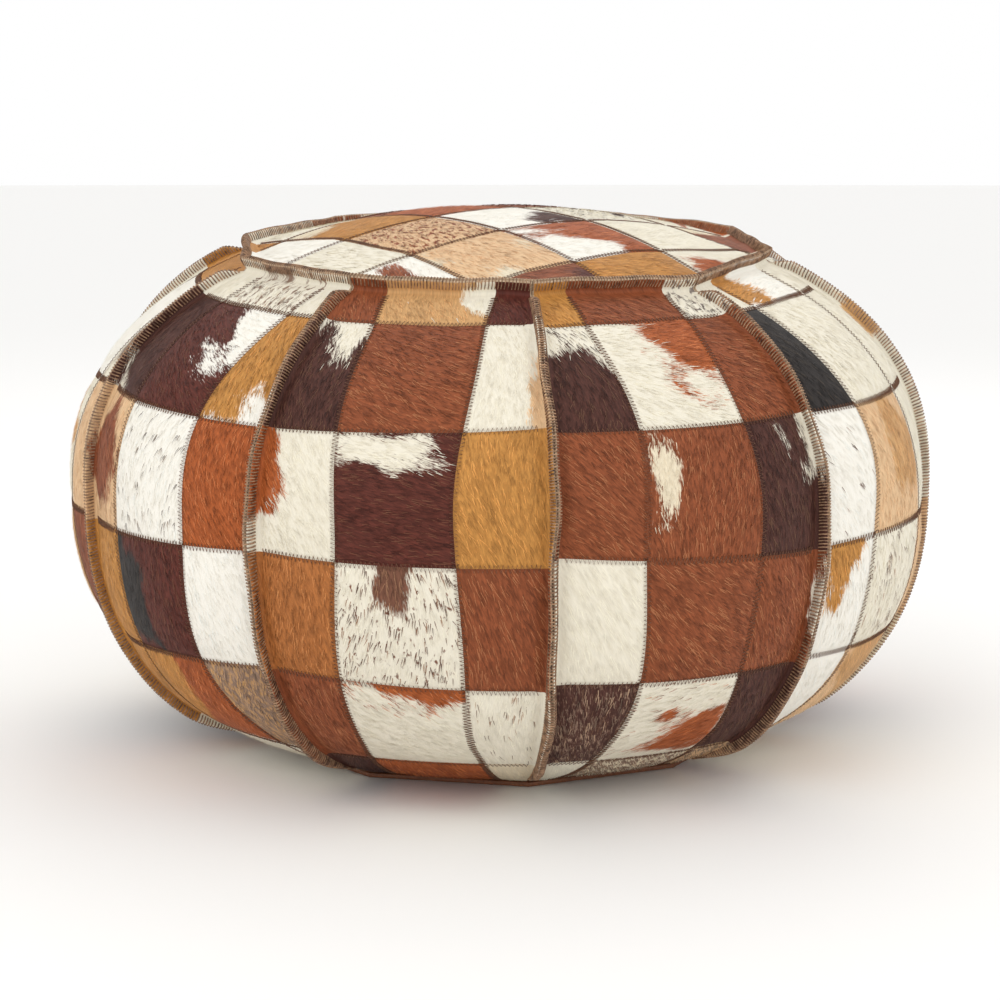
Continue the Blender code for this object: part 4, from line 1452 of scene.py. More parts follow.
@dataclass
class TopPanel:
    """The ten-sided top: hide squares set on the diagonal, with an edge that stands up all round."""

    form: PoufForm
    grid: PatchGrid
    book: CoatBook
    grid_deg: float = 39.0
    pitch: float = 0.075
    across_start: float = -0.192
    along_start: float = -0.203
    cells: int = 5
    cell_steps: int = 20
    edge: float = 0.0017
    stitch_pitch: float = 0.0026
    stitch_half: float = 0.0021
    thread_radius: float = 0.00028
    half_share: float = 0.7
    coats: dict[Cell, Coat] = field(default_factory=dict)

    @property
    def axes(self) -> Line:
        """Directions of the grid's two coordinates in plan."""
        turn = math.radians(self.grid_deg)
        return np.array([math.cos(turn), math.sin(turn)]), np.array([-math.sin(turn), math.cos(turn)])

    @property
    def side_normals(self) -> list[Pair]:
        """Outward directions of the ten sides in plan.

        Returns:
            One direction for each side.
        """
        form = self.form
        middles = [form.first_seam_deg + (k + 0.5) * 2.0 * form.half_deg for k in range(form.gore_count)]
        return [(math.sin(math.radians(a)), -math.cos(math.radians(a))) for a in middles]

    @property
    def apothem(self) -> float:
        """Distance from the axis to the fold of each side."""
        return self.form.top_radius * math.cos(math.radians(self.form.half_deg))

    def coat(self, cell: Cell) -> Coat:
        """Coat of one square, the same each time it is asked.

        Args:
            cell: its numbers across and along.

        Returns:
            The coat.
        """
        if cell not in self.coats:
            self.coats[cell] = self.book.top(cell)
        return self.coats[cell]

    def marks(self) -> tuple[list[float], list[float]]:
        """Grid coordinates of the seams, the outermost two of each only limits.

        Returns:
            The marks across and the marks along.
        """
        across = [self.across_start + self.pitch * k for k in range(self.cells + 1)]
        along = [self.along_start + self.pitch * k for k in range(self.cells + 1)]
        return across, along

    def cell_of(self, grid_points: Array) -> Array:
        """Numbers across and along of the square that each point lies in."""
        numbers = [np.searchsorted(marks, grid_points[:, k]) - 1 for k, marks in enumerate(self.marks())]
        return np.stack([np.clip(each, 0, self.cells - 1) for each in numbers], axis=-1)

    def centre(self, cell: Cell) -> Array:
        """Middle of one square in the grid's coordinates."""
        return np.array([(marks[k] + marks[k + 1]) / 2.0 for marks, k in zip(self.marks(), cell)])

    def square_number(self, cell: Cell) -> int:
        """Number that keeps one square's noise its own."""
        return 400 + cell[0] * 7 + cell[1]

    def side_reach(self, flat: Array) -> Array:
        """Distance of plan points from the axis, measured square to the nearest side."""
        return np.max([flat[..., 0] * nx + flat[..., 1] * ny for nx, ny in self.side_normals], axis=0)

    def height(self, flat: Array, relief: Array) -> Array:
        """World points of the domed top over plan points.

        Args:
            flat: plan points.
            relief: above the dome.

        Returns:
            World points.
        """
        sided = self.side_reach(flat) / self.apothem
        round_share = np.hypot(flat[..., 0], flat[..., 1]) / self.form.top_radius
        share = round_share * (1.0 - smooth(sided)) + sided * smooth(sided)
        z = self.form.top_height + self.form.dome_rise * (1.0 - share**2) + relief
        return self.form.settle(np.stack([flat[..., 0], flat[..., 1], z], axis=-1))

    def relief(self, grid_points: Array, flat: Array) -> Array:
        """Relief of the squares, flat towards the rim.

        Args:
            grid_points: in the grid's coordinates.
            flat: the same points in plan.

        Returns:
            Height above the dome.
        """
        across, along = self.marks()
        near = np.full(grid_points.shape[:-1], 1.0)
        for mark in across[1:-1]:
            near = np.minimum(near, np.abs(grid_points[..., 0] - mark))
        for mark in along[1:-1]:
            near = np.minimum(near, np.abs(grid_points[..., 1] - mark))
        return self.grid.relief(near) * smooth((self.apothem - self.side_reach(flat)) / 0.010)

    def to_flat(self, grid_points: Array) -> Array:
        """Plan points of grid coordinates."""
        first, second = self.axes
        return grid_points[..., :1] * first + grid_points[..., 1:2] * second

    def build(self, hide: Material, cut: Material) -> Thing:
        """Makes the hide of the top.

        Args:
            hide: material of the hair side.
            cut: material of the cut edges.

        Returns:
            The hide.
        """
        across, along = self.marks()
        lines = []
        for marks in (across, along):
            parts = [clustered(a, b, self.cell_steps)[:-1] for a, b in zip(marks, marks[1:])]
            lines.append(np.concatenate([*parts, [marks[-1]]]))
        grid_points = np.stack(np.meshgrid(*lines, indexing="ij"), axis=-1).reshape(-1, 2)
        flat = self.to_flat(grid_points)
        work = bmesh.new()
        verts = [work.verts.new((x, y, 0.0)) for x, y in flat]
        for quad in grid_faces(len(lines[0]), len(lines[1])):
            work.faces.new([verts[i] for i in quad])
        clip_to_sides(work, self.side_normals, self.apothem)
        edges = [e for e in work.edges if e.is_boundary]
        rings = self.edge_rings()
        cut_from = len(rings) - 4
        for number, (reach, height) in enumerate(rings):
            grown = bmesh.ops.extrude_edge_only(work, edges=edges)["geom"]
            new_verts = [g for g in grown if isinstance(g, bmesh.types.BMVert)]
            edges = [g for g in grown if isinstance(g, bmesh.types.BMEdge)]
            for face in {f for e in edges for f in e.link_faces}:
                face.material_index = 1 if number >= cut_from else 0
            for vert in new_verts:
                flat_co = np.array(vert.co[:2])
                old = self.side_reach(flat_co)
                vert.co.x *= reach / old
                vert.co.y *= reach / old
                vert.co.z = height
        work.verts.index_update()
        work.verts.ensure_lookup_table()
        mesh = bpy.data.meshes.new("top_hide")
        work.to_mesh(mesh)
        work.free()
        co = np.zeros(len(mesh.vertices) * 3)
        mesh.vertices.foreach_get("co", co)
        co = co.reshape(-1, 3)
        first, second = self.axes
        grid_points = np.stack([co[:, :2] @ first, co[:, :2] @ second], axis=-1)
        is_edge = co[:, 2] > 0.0
        world = self.height(co[:, :2], self.relief(grid_points, co[:, :2]))
        rim = self.form.settle(np.stack([co[:, 0], co[:, 1], co[:, 2]], axis=-1))
        world[is_edge] = rim[is_edge]
        mesh.vertices.foreach_set("co", world.astype(np.float32).ravel())
        self.paint(mesh, grid_points, np.where(is_edge, co[:, 2] - self.form.top_height, 0.0))
        mesh.materials.append(hide)
        mesh.materials.append(cut)
        mesh.shade_smooth()
        mesh.update()
        thing = bpy.data.objects.new("top_hide", mesh)
        bpy.context.scene.collection.objects.link(thing)
        return thing

    def edge_rings(self) -> list[Pair]:
        """Side distance and height of the rings of the edge that stands up round the top.

        Returns:
            Side distance and height of each ring.
        """
        form = self.form
        stand = math.radians(form.rim_stand_deg)
        scale = math.cos(math.radians(form.half_deg))

        def at(down: float, side: float) -> Pair:
            """One ring of the edge.

            Args:
                down: from the tip.
                side: from the middle of the seam.

            Returns:
                Side distance and height.
            """
            radius = form.rim_tip[0] - down * math.cos(stand) + side * math.sin(stand)
            height = form.rim_tip[1] - down * math.sin(stand) - side * math.cos(stand)
            return radius * scale, height

        rings = [at(d, -self.edge) for d in (0.0062, 0.0048, 0.0032, 0.0016, 0.0004)]
        return [*rings, at(-0.0002, -0.0015), at(0.0, -0.0010), at(-0.0001, -0.0005), at(0.0040, -0.0001)]

    def paint(self, mesh: bpy.types.Mesh, grid_points: Array, rise: Array) -> None:
        """Gives every face corner the coat of its square.

        Args:
            mesh: of the top.
            grid_points: each vertex in the grid's coordinates.
            rise: of each vertex up the edge.
        """
        loops = np.zeros(len(mesh.loops), np.int32)
        mesh.loops.foreach_get("vertex_index", loops)
        total = np.zeros(len(mesh.polygons), np.int32)
        mesh.polygons.foreach_get("loop_total", total)
        owner = np.repeat(np.arange(len(total)), total)
        corner = grid_points[loops]
        middle = np.zeros((len(total), 2))
        np.add.at(middle, owner, corner)
        middle /= total[:, None]
        cell = self.cell_of(middle)
        ground, mark = np.zeros((len(loops), 4)), np.zeros((len(loops), 4))
        mixing, place = np.zeros((len(loops), 3)), np.zeros((len(loops), 3))
        turn = np.array(self.axes)
        for i in range(self.cells):
            for j in range(self.cells):
                chosen = ((cell[:, 0] == i) & (cell[:, 1] == j))[owner]
                if not chosen.any():
                    continue
                local = (corner[chosen] - self.centre((i, j))) @ turn
                local = local * (1.0 + rise[loops[chosen]] / 0.18)[:, None]
                half = self.pitch * self.half_share
                values = coat_values(self.coat((i, j)), local, (half, half), self.square_number((i, j)))
                for target, value in zip((ground, mark, mixing, place), values):
                    target[chosen] = value
        set_coats(mesh, ground, mark, mixing, place)

    def build_stitches(self, thread: Material) -> Thing:
        """Makes the zigzag thread between the squares.

        Args:
            thread: its material.

        Returns:
            The thread as one object.
        """
        across, along = self.marks()
        lines = []
        step = self.stitch_pitch / 2.0
        for axis, marks in ((0, across), (1, along)):
            for mark in marks[1:-1]:
                run = np.arange(-0.19, 0.19, step)
                swing = np.where(np.arange(len(run)) % 2 == 0, 1.0, -1.0) * self.stitch_half
                pair = [mark + swing, run] if axis == 0 else [run, mark + swing]
                grid_points = np.stack(pair, axis=-1)
                flat = self.to_flat(grid_points)
                kept = self.side_reach(flat) < self.apothem - 0.003
                grid_points, flat = grid_points[kept], flat[kept]
                relief = self.relief(grid_points, flat) + self.thread_radius * 1.3
                line = self.height(flat, relief)
                lines.append((line, np.tile([0.0, 0.0, 1.0], (len(line), 1))))
        return thread_object("top_zigzag_thread", lines, self.thread_radius, thread)


# ---- hair


@dataclass
class HairPatch:
    """Where hair grows on one patch: roots on the panel's sheet, and the sheet's bounds of the patch."""

    coat: Coat
    number: int
    root: Array
    local: Array
    half: tuple[float, float]
    low: tuple[float, float]
    high: tuple[float, float]
    turn: Array


@dataclass
class Nap:
    """Short hair lying along the nap of each patch, as narrow blades in three shades of each tone."""

    per_m2: float = 170000.0
    length: float = 0.0058
    # Far wider than one hair, so that each blade stands for a tuft of them.
    width: float = 0.00040
    rise: float = 0.0008
    strand: Pair = (0.010, 0.0015)
    # Tint of the painted highlight that is added to the lightest strands of dark coats.
    highlight_tint: tuple[float, float, float] = (1.0, 0.7, 0.35)
    roughness: float = 0.6
    specular: float = 0.22
    shortest: float = 0.0012
    press_reach: float = 0.006
    # A blade's three pairs of points: share of its length, share of its rise, share of its width.
    blade: tuple[tuple[float, ...], ...] = ((0.0, 0.0, 1.0), (0.5, 0.75, 0.8), (1.0, 1.0, 0.2))
    materials: dict[tuple[Tone, int], Material] = field(default_factory=dict)

    def material(self, tone: Tone, shade: int) -> Material:
        """The finish of hair of one tone and shade. White hair differs least from strand to strand.

        Args:
            tone: of the coat.
            shade: 0 for dark, 1 for middle, 2 for light.

        Returns:
            The material.
        """
        if (tone, shade) not in self.materials:
            material, _, shader = new_material(f"{tone.name.lower()}_hair_{shade + 1}")
            base = linear(tone.value)[:3]
            mean = sum(base) / 3.0
            spread = 0.06 + 0.60 * (1.0 - mean) ** 2
            depth = max(0.0, 1.0 - mean / 0.3)
            factor = (1.0 - 0.8 * spread, 1.0 - 0.25 * depth, 1.0 + (1.25 - 1.1 * depth) * spread)[shade]
            # Painted highlight: the lightest strands of a dark coat are lifted towards pale tan, where they
            # would turn to the light.
            lift = 1.5 * mean * depth if shade == 2 else 0.0
            colour = (min(c * factor + lift * share, 0.90) for c, share in zip(base, self.highlight_tint))
            shader.inputs["Base Color"].default_value = (*colour, 1.0)
            shader.inputs["Roughness"].default_value = self.roughness
            shader.inputs["Specular IOR Level"].default_value = self.specular
            self.materials[(tone, shade)] = material
        return self.materials[(tone, shade)]

    def build(
        self, name: str, patches: list[HairPatch], surface: Callable[[Array, Array], Array], seed: int
    ) -> Thing:
        """Makes the hair of one panel.

        Args:
            name: of the object.
            patches: the patches with their roots.
            surface: world points of sheet points at a lift.
            seed: of the panel's own chance.

        Returns:
            The hair as one object.
        """
        chance = np.random.default_rng(seed)
        parts, keys = [], []
        for patch in patches:
            coat, number, count = patch.coat, patch.number, len(patch.root)
            swirl = 0.34 * np.sin(27.0 * patch.local[:, 0] + 19.0 * patch.local[:, 1] + number)
            nap = nap_angle(coat, number) + swirl + chance.normal(0.0, 0.15, count)
            way = np.stack([np.cos(nap), np.sin(nap)], axis=-1) @ patch.turn
            length = self.length * chance.uniform(0.65, 1.15, count)
            low, high = np.array(patch.low), np.array(patch.high)
            room = np.where(way > 0.0, high - patch.root, patch.root - low) / np.maximum(np.abs(way), 1e-6)
            length = np.minimum(length, room.min(axis=1))
            kept = length > self.shortest
            level = splash_level(coat, patch.local, patch.half, number)
            splashed = level + chance.normal(0.0, 0.08, count) > 0.0
            spots = 2.2 * (value_noise(patch.local / SPECK, number + 7) - 0.5) + coat.specks > 0.0
            mixed = chance.normal(coat.roan, 0.45, count) > 0.0
            marked = (splashed | spots | mixed)[kept]
            lie = nap_angle(coat, number)
            turned = patch.local @ np.array([[math.cos(lie), -math.sin(lie)], [math.sin(lie), math.cos(lie)]])
            clump = value_noise(turned / np.array(self.strand), number + 13) + chance.normal(0.0, 0.14, count)
            shade = np.clip((clump * 3.0).astype(int), 0, 2)[kept]
            keys += [(coat.mark if m else coat.ground, int(s)) for m, s in zip(marked, shade)]
            root, way, length = patch.root[kept], way[kept], length[kept]
            side = np.stack([-way[:, 1], way[:, 0]], axis=-1)
            rows = []
            for share, lift, width in self.blade:
                middle = root + way * (length * share)[:, None]
                near = np.minimum(middle - low, high - middle).min(axis=1)
                pressed = self.rise * lift * np.clip(near / self.press_reach, 0.12, 1.0)
                rows += [surface(middle + side * self.width * width * sign, pressed) for sign in (-0.5, 0.5)]
            parts.append(np.stack(rows, axis=1).reshape(-1, 3))
        points = np.concatenate(parts)
        first = np.arange(len(keys))[:, None] * 6
        lower, upper = first + np.array([0, 1, 3, 2]), first + np.array([2, 3, 5, 4])
        faces = np.concatenate([lower, upper], axis=1).reshape(-1, 4)
        used = sorted(set(keys), key=lambda k: (k[0].name, k[1]))
        slots = {key: i for i, key in enumerate(used)}
        hair = mesh_object(name, points, faces, [self.material(*key) for key in used])
        index = np.repeat(np.array([slots[key] for key in keys], np.int32), 2)
        hair.data.polygons.foreach_set("material_index", index)
        return hair

    def on_gore(self, gore: Gore) -> Thing:
        """Makes the hair of one gore.

        Args:
            gore: that it grows on.

        Returns:
            The hair as one object.
        """
        form, grid = gore.form, gore.grid
        low, high = form.arc_span
        chance = np.random.default_rng(500 + gore.number)
        widest = math.radians(form.half_deg) * form.seam_radius
        count = int(self.per_m2 * 2.0 * widest * (high - low))
        across = chance.uniform(-widest, widest, count)
        arc = chance.uniform(low + 0.010, high - 0.003, count)
        half = np.radians(form.half_deg) * form.read("radius", arc)
        kept = np.abs(across) < half - 0.0045
        across, arc = across[kept], arc[kept]
        marks = gore.sheet_marks
        row = np.searchsorted(grid.row_seams, arc)
        column = np.where(across < -grid.column_half, 0, np.where(across < grid.column_half, 1, 2))
        patches = []
        for r in range(len(marks) - 1):
            for c in range(3):
                chosen = (row == r) & (column == c)
                root = np.stack([across[chosen], arc[chosen]], axis=-1)
                middle = (marks[r] + marks[r + 1]) / 2.0
                local = root - np.array([(c - 1) * 2.0 * grid.column_half, middle])
                coat, number = gore.patch(r, c)
                half_size = (grid.column_half, (marks[r + 1] - marks[r]) / 2.0)
                left = (-widest, -grid.column_half, grid.column_half)[c]
                right = (-grid.column_half, grid.column_half, widest)[c]
                bounds = ((left, max(marks[r], low + 0.003)), (right, min(marks[r + 1], high)))
                patches.append(HairPatch(coat, number, root, local, half_size, *bounds, np.eye(2)))

        def surface(sheet: Array, lift: Array) -> Array:
            """World points over the gore.

            Args:
                sheet: across and along the gore, n by 2.
                lift: above the hide.

            Returns:
                The points.
            """
            at_arc = np.clip(sheet[:, 1], low, high)
            radius = form.read("radius", at_arc)
            reach = np.radians(form.half_deg) * radius
            at_across = np.clip(sheet[:, 0], -reach + 0.0028, reach - 0.0028)
            relief = gore.patch_relief(at_across, at_arc, reach)
            return gore.skin(np.degrees(at_across / radius), at_arc, relief + lift)

        return self.build(f"{gore.name}_hair", patches, surface, gore.number)

    def on_top(self, top: TopPanel) -> Thing:
        """Makes the hair of the top.

        Args:
            top: that it grows on.

        Returns:
            The hair as one object.
        """
        chance = np.random.default_rng(600)
        across, along = top.marks()
        reach = top.form.top_radius
        count = int(self.per_m2 * (2.0 * reach) ** 2)
        grid_points = chance.uniform(-reach, reach, (count, 2))
        grid_points = grid_points[top.side_reach(top.to_flat(grid_points)) < top.apothem - 0.002]
        cell = top.cell_of(grid_points)
        turn = np.array(top.axes)
        patches = []
        for i in range(top.cells):
            for j in range(top.cells):
                root = grid_points[(cell[:, 0] == i) & (cell[:, 1] == j)]
                if len(root) == 0:
                    continue
                local = (root - top.centre((i, j))) @ turn
                half = top.pitch * top.half_share
                bounds = ((across[i], along[j]), (across[i + 1], along[j + 1]))
                coat, number = top.coat((i, j)), top.square_number((i, j))
                patches.append(HairPatch(coat, number, root, local, (half, half), *bounds, turn.T))

        def surface(sheet: Array, lift: Array) -> Array:
            """World points over the top.

            Args:
                sheet: across and along the grid, n by 2.
                lift: above the hide.

            Returns:
                The points.
            """
            flat = top.to_flat(sheet)
            far = top.side_reach(flat)
            scale = np.minimum(1.0, (top.apothem - 0.0004) / np.maximum(far, 1e-6))
            flat = flat * scale[:, None]
            return top.height(flat, top.relief(sheet, flat) + lift)

        return self.build("top_hair", patches, surface, 10)


# ---- base, zip and inside


@dataclass
class LeatherBase:
    """The two halves of the leather base, stitched near the edge, with a rolled hem at the zip."""

    form: PoufForm
    radius: float = 0.172
    softened: float = 0.0007
    stitch_inset: float = 0.006
    slot_offset: float = 0.0125
    stitch_length: float = 0.004
    stitch_gap: float = 0.002
    thread_radius: float = 0.0004

    def build_half(self, node: str, leather: Material) -> Thing:
        """Makes one half: a plate with soft edges, and its hem.

        Args:
            node: of the half.
            leather: its material.

        Returns:
            The half.
        """
        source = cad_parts[node]
        half = source.copy()
        half.data = source.data.copy()
        half.name = node + "_leather"
        half.parent = None
        for key in [k for k in half.keys() if k.startswith("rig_")]:
            del half[key]
        bpy.context.scene.collection.objects.link(half)
        half.data.materials.clear()
        half.data.materials.append(leather)
        work = bmesh.new()
        work.from_mesh(half.data)
        bmesh.ops.remove_doubles(work, verts=work.verts, dist=1e-5)
        bmesh.ops.dissolve_limit(work, angle_limit=0.02, verts=work.verts, edges=work.edges)
        sharp = [e for e in work.edges if e.is_manifold and e.calc_face_angle(0.0) > 0.6]
        bmesh.ops.bevel(work, geom=sharp, offset=self.softened, segments=3, profile=0.5, affect="EDGES")
        bmesh.ops.triangulate(work, faces=[f for f in work.faces if len(f.verts) > 4])
        work.to_mesh(half.data)
        work.free()
        half.data.shade_smooth()
        half.data.set_sharp_from_angle(angle=math.radians(50.0))
        return half

    def build_stitches(self, thread: Material) -> Thing:
        """Makes the running stitch under the edge and along the slot.

        Args:
            thread: its material.

        Returns:
            The thread as one object.
        """
        lines = []
        step = self.stitch_length + self.stitch_gap
        corners = []
        for k in range(self.form.gore_count):
            azimuth = math.radians(self.form.first_seam_deg + k * 2.0 * self.form.half_deg)
            reach = self.radius - self.stitch_inset
            corners.append(np.array([reach * math.sin(azimuth), -reach * math.cos(azimuth)]))
        runs = list(zip(corners, corners[1:] + corners[:1]))
        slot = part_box("zip_tape_back")
        reach = slot[1].x
        for side in (-1.0, 1.0):
            y = side * self.slot_offset
            runs.append((np.array([-reach, y]), np.array([reach, y])))
        for start, end in runs:
            length = float(np.linalg.norm(end - start))
            unit = (end - start) / length
            for k in range(int(length / step)):
                a = start + unit * (k * step + 0.001)
                shares = np.array([0.0, 0.15, 0.5, 0.85, 1.0])
                flat = a[None, :] + unit[None, :] * (shares * self.stitch_length)[:, None]
                dip = np.array([0.0009, 0.0001, 0.0, 0.0001, 0.0009]) + 0.0001
                line = np.column_stack([flat, dip])
                lines.append((line, np.tile([0.0, 0.0, -1.0], (5, 1))))
        return thread_object("base_running_stitch", lines, self.thread_radius, thread)


@dataclass
class ZipTape:
    """Woven tape beside the teeth, with a corded edge and a slight wave."""

    node: str
    count: int = 180
    columns: int = 13
    cord: float = 0.0007
    wave: float = 0.00018

    def build(self, cloth: Material) -> Thing:
        """Makes the tape inside its solid's place.

        Args:
            cloth: its material.

        Returns:
            The tape.
        """
        low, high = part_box(self.node)
        inner = low.y if low.y > 0.0 else high.y
        outer = high.y if low.y > 0.0 else low.y
        count, columns = self.count, self.columns
        x = np.linspace(low.x, high.x, count)[:, None]
        share = np.linspace(0.0, 1.0, columns)[None, :]
        y = inner + (outer - inner) * share + 0.0 * x
        cord = self.cord * np.exp(-(((share - 0.07) / 0.05) ** 2))
        wave = self.wave * np.sin(x * 420.0) * share
        middle = (low.z + high.z) / 2.0
        thick = (high.z - low.z) / 2.0 * 0.8
        under = np.stack([x + 0.0 * share, y, middle - thick - cord * 0.6 + wave], axis=-1)
        over = np.stack([x + 0.0 * share, y, middle + thick + cord * 0.2 + wave], axis=-1)
        ring = np.concatenate([under, over[:, ::-1]], axis=1)
        faces = grid_faces(count, columns * 2, wrap=True)
        caps = []
        for row in (0, count - 1):
            base = row * columns * 2
            for k in range(columns - 1):
                caps.append([base + k, base + k + 1, base + 2 * columns - 2 - k, base + 2 * columns - 1 - k])
        faces = np.concatenate([faces, np.array(caps)])
        return mesh_object(self.node + "_weave", ring.reshape(-1, 3), faces, [cloth])


@dataclass
class Filling:
    """A soft body that fills the cover: the inner bag, or the fibre in it."""

    form: PoufForm
    node: str
    depth: float
    crease: float
    creases: int
    mouth: float

    def build(self, material: Material) -> Thing:
        """Makes the body, its floor gathered towards the middle.

        Args:
            material: of the body.

        Returns:
            The body.
        """
        form = self.form
        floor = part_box(self.node)[0].z + 0.0006
        span_low, span_high = form.arc_span
        arcs = np.linspace(span_low + 0.030, span_high - 0.004, 60)
        radius = form.read("radius", arcs) - self.depth * form.read("out_r", arcs)
        height = form.read("height", arcs) - self.depth * form.read("out_h", arcs)
        keep = height > floor + 0.002
        radius, height, arcs = radius[keep], height[keep], arcs[keep]
        inner = np.linspace(self.mouth, radius[0] - 0.003, 16)
        top_share = np.linspace(0.97, 0.02, 12)
        top_radius = (form.top_radius - self.depth) * top_share
        top_height = form.top_height - self.depth + form.dome_rise * (1.0 - top_share**2)
        all_radius = np.concatenate([inner, radius, top_radius])
        all_height = np.concatenate([np.full(16, floor), height, top_height])
        swell = np.concatenate([np.full(16, 0.0), form.swell(arcs), np.zeros(12)])
        turn = np.linspace(0.0, 360.0, 240, endpoint=False)
        sag = np.concatenate([np.linspace(1.0, 0.2, 16), np.full(len(radius), 0.6), np.full(12, 0.5)])
        fold = np.abs(np.sin(np.radians(turn) * self.creases / 2.0))[None, :] * self.crease * sag[:, None]
        shrink = np.clip(1.0 - fold / np.maximum(all_radius[:, None], 0.02), 0.0, 1.0)
        up = np.concatenate([np.ones(16), np.zeros(len(radius) + 12)])[:, None]
        drop = np.concatenate([np.zeros(16 + len(radius)), np.ones(12)])[:, None]
        z = all_height[:, None] + fold * 0.5 * up - fold * 0.5 * drop
        points = form.world(turn[None, :], all_radius[:, None] * shrink, z, swell[:, None])
        faces = grid_faces(len(all_radius), len(turn), wrap=True)
        return mesh_object(self.node + "_soft", points.reshape(-1, 3), faces, [material])


# ---- studio


@dataclass
class Studio:
    """A pale floor, soft light and the camera."""

    distance: float = 1.5
    elevation_deg: float = 8.2
    aim_height: float = 0.183
    lens_mm: float = 75.85
    shift_up: float = -0.032
    opening: float = 0.162
    floor_gap: float = 0.0004

    def build(self) -> None:
        """Adds the floor, the lights, the world and the camera."""
        floor = self.add_floor()
        self.add_light("key_softbox", (-0.9, -1.7, 1.9), 1.6, 10.0, (1.0, 0.985, 0.96))
        self.add_light("fill_softbox", (1.7, -1.3, 1.1), 1.8, 4.0, (0.97, 0.985, 1.0))
        self.add_light("back_softbox", (0.3, 1.6, 1.9), 1.6, 6.0, (1.0, 1.0, 1.0))
        world = bpy.data.worlds.new("studio_white")
        world.use_nodes = True
        backdrop = world.node_tree.nodes["Background"]
        backdrop.inputs["Color"].default_value = linear("#FFFFFF")
        backdrop.inputs["Strength"].default_value = 1.0
        bpy.context.scene.world = world
        bpy.context.scene.view_settings.view_transform = "Standard"
        self.add_camera()

    def add_floor(self) -> Thing:
        """A large pale floor, open right under the base so that the zip can be seen from below.

        Returns:
            The floor.
        """
        form, count = PoufForm(), 100
        turn = np.linspace(0.0, 360.0, count, endpoint=False)
        within = np.radians(np.mod(turn, 2.0 * form.half_deg) - form.half_deg)
        opening = self.opening * math.cos(math.radians(form.half_deg)) / np.cos(within)
        azimuth = np.radians(turn + form.first_seam_deg)
        depth = np.full(count, -self.floor_gap)
        rings = [
            np.stack([reach * np.sin(azimuth), -reach * np.cos(azimuth), depth], axis=-1)
            for reach in (opening, 0.6, 3.0, 40.0)
        ]
        material, tree, shader = new_material("studio_floor_paint")
        shader.inputs["Base Color"].default_value = linear("#F7F6F4")
        shader.inputs["Roughness"].default_value = 0.9
        # From below the floor lets the pouf show.
        clear = add_node(tree, "ShaderNodeBsdfTransparent")
        under = add_node(tree, "ShaderNodeNewGeometry").outputs["Backfacing"]
        mixed = add_node(tree, "ShaderNodeMixShader", {0: under, 1: shader.outputs[0], 2: clear.outputs[0]})
        tree.links.new(mixed.outputs[0], tree.nodes["Material Output"].inputs["Surface"])
        faces = grid_faces(len(rings), count, wrap=True)
        return mesh_object("studio_floor", np.concatenate(rings[::-1]), faces, [material])

    def add_light(self, name: str, place: tuple, size: float, power: float, colour: tuple) -> None:
        """One square soft light aimed at the pouf.

        Args:
            name: of the light.
            place: where it hangs.
            size: length of its side.
            power: in watts.
            colour: linear RGB.
        """
        data = bpy.data.lights.new(name, "AREA")
        data.size = size
        data.energy = power
        data.color = colour
        light = bpy.data.objects.new(name, data)
        bpy.context.scene.collection.objects.link(light)
        light.location = place
        aim = Vector((0.0, 0.0, self.aim_height)) - Vector(place)
        light.rotation_euler = aim.to_track_quat("-Z", "Y").to_euler()

    def add_camera(self) -> None:
        """The camera, a little above the pouf and in front of it."""
        data = bpy.data.cameras.new("studio_camera")
        data.lens = self.lens_mm
        data.sensor_width = 36.0
        data.shift_y = self.shift_up
        camera = bpy.data.objects.new("studio_camera", data)
        bpy.context.scene.collection.objects.link(camera)
        angle = math.radians(self.elevation_deg)
        back = Vector((0.0, -math.cos(angle), math.sin(angle)))
        camera.location = Vector((0.0, 0.0, self.aim_height)) + back * self.distance
        camera.rotation_euler = (-back).to_track_quat("-Z", "Y").to_euler()
        bpy.context.scene.camera = camera


# ---- the whole pouf


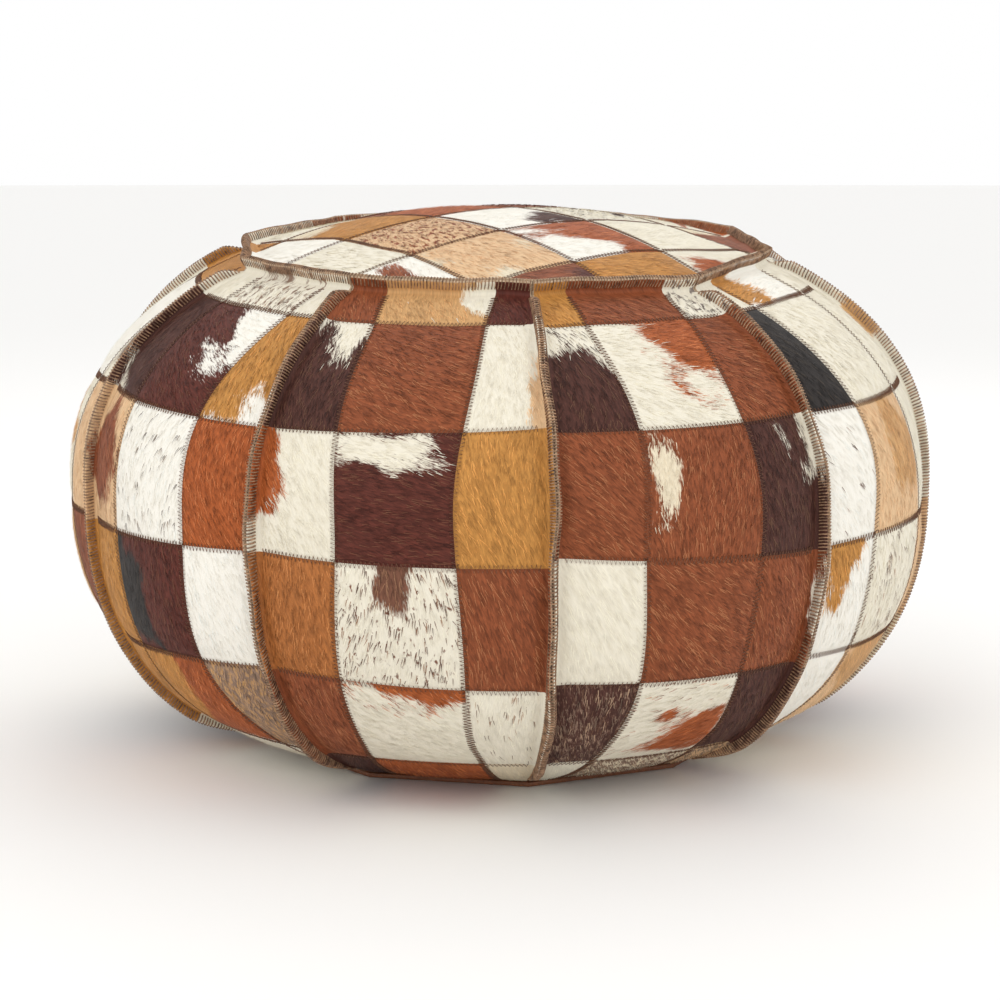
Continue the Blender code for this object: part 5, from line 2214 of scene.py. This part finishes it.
@dataclass
class Pouf:
    """Builds and dresses every piece of the pouf."""

    form: PoufForm = field(default_factory=PoufForm)
    grid: PatchGrid = field(default_factory=PatchGrid)
    seed: int = 11

    def __post_init__(self) -> None:
        """Makes the finishes."""
        self.hide = HideFinish().build()
        # Edge of tanned hide where it was cut: pale suede fibres.
        self.cut = GrainFinish("cut_hide_edge", "#D3BDA0", "#9A7A5E", 1.2, 0.85, 0.2).build()
        # Waxed brown polyester thread, slightly glossy along its twist.
        self.thread = GrainFinish("waxed_brown_thread", "#8C5F43", "#523424", 1.4, 0.6, 0.1).build()
        # Thicker thread of the standing seams, paler in places; its darkest grain is painted shade for the
        # gaps between stitches.
        self.seam_thread = GrainFinish("worn_seam_thread", "#B8906E", "#3F2418", 3.6, 0.65, 0.1).build()
        # Smooth brown grain leather: satin, with fine pores.
        self.leather = GrainFinish("brown_grain_leather", "#8A5433", "#683D25", 1.6, 0.5, 0.15).build()
        # Unbleached cotton: dull and fibrous.
        self.cotton = GrainFinish("unbleached_cotton", "#E4DCC9", "#CFC4AC", 0.7, 0.9, 0.12, 3.0, 0.2).build()
        # Loose fibre: soft clumps.
        self.fibre = GrainFinish("loose_fibre", "#F0EEE8", "#D8D5CC", 9.0, 0.95, 2.0, sheen=0.3).build()
        # Twill zip tape: dark brown, tight weave.
        self.tape = GrainFinish("brown_twill_tape", "#4A3226", "#2E1E17", 0.6, 0.8, 0.12).build()
        self.brass = BrassFinish().build()

    def build(self) -> None:
        """Makes every piece and hides the solids they stand for."""
        book = CoatBook(self.seed)
        nap = Nap()
        gores = []
        for number in range(self.form.gore_count):
            coats = book.gore(number, len(self.grid.row_seams) + 1, 3)
            gore = Gore(self.form, self.grid, number, coats)
            hide = gore.build(self.hide, self.cut)
            stitches = gore.build_stitches(self.thread)
            self.fit(hide, f"gore_panel_{number + 1:02d}")
            self.attach(stitches)
            self.attach(nap.on_gore(gore))
            gores.append(gore)
        for number in range(self.form.gore_count):
            seam = StandingSeam(self.form, gores[number], number).build(self.seam_thread)
            self.fit(seam, f"gore_seam_{number + 1:02d}")
        top = TopPanel(self.form, self.grid, book)
        top_hide = top.build(self.hide, self.cut)
        self.fit(top_hide, "top_panel")
        self.attach(top.build_stitches(self.thread))
        self.attach(nap.on_top(top))
        self.fit(RimSeam(self.form).build(self.seam_thread), "top_rim_seam")
        self.build_under()

    def build_under(self) -> None:
        """Makes the base, the zip and what fills the cover."""
        base = LeatherBase(self.form)
        for node in ("base_panel_front", "base_panel_back"):
            self.fit(base.build_half(node, self.leather), node)
        self.attach(base.build_stitches(self.thread))
        for node in ("zip_tape_front", "zip_tape_back"):
            self.fit(ZipTape(node).build(self.tape), node)
        bag = Filling(self.form, "inner_bag", 0.0052, 0.0016, 64, 0.036).build(self.cotton)
        self.fit(bag, "inner_bag")
        fibre = Filling(self.form, "stuffing", 0.0075, 0.0030, 26, 0.0004).build(self.fibre)
        self.fit(fibre, "stuffing")
        for part in ("teeth_front", "teeth_back", "stop_closed", "stop_open", "slider", "puller"):
            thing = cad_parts["zip_" + part]
            thing.data.materials.clear()
            thing.data.materials.append(self.brass)

    def attach(self, thing: Thing) -> None:
        """Lets a piece move with the pouf."""
        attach(thing, "pouf")
        LOG.info("%s: %d faces", thing.name, len(thing.data.polygons))

    def fit(self, thing: Thing, node: str) -> None:
        """Lets a piece move with the pouf in place of a solid."""
        self.attach(thing)
        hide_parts(node)


def main() -> None:
    """Builds the pouf and the studio, logging the faces of each piece."""
    logging.basicConfig(level=logging.INFO, format="%(name)s: %(message)s")
    Pouf().build()
    Studio().build()


if __name__ == "__main__":
    main()
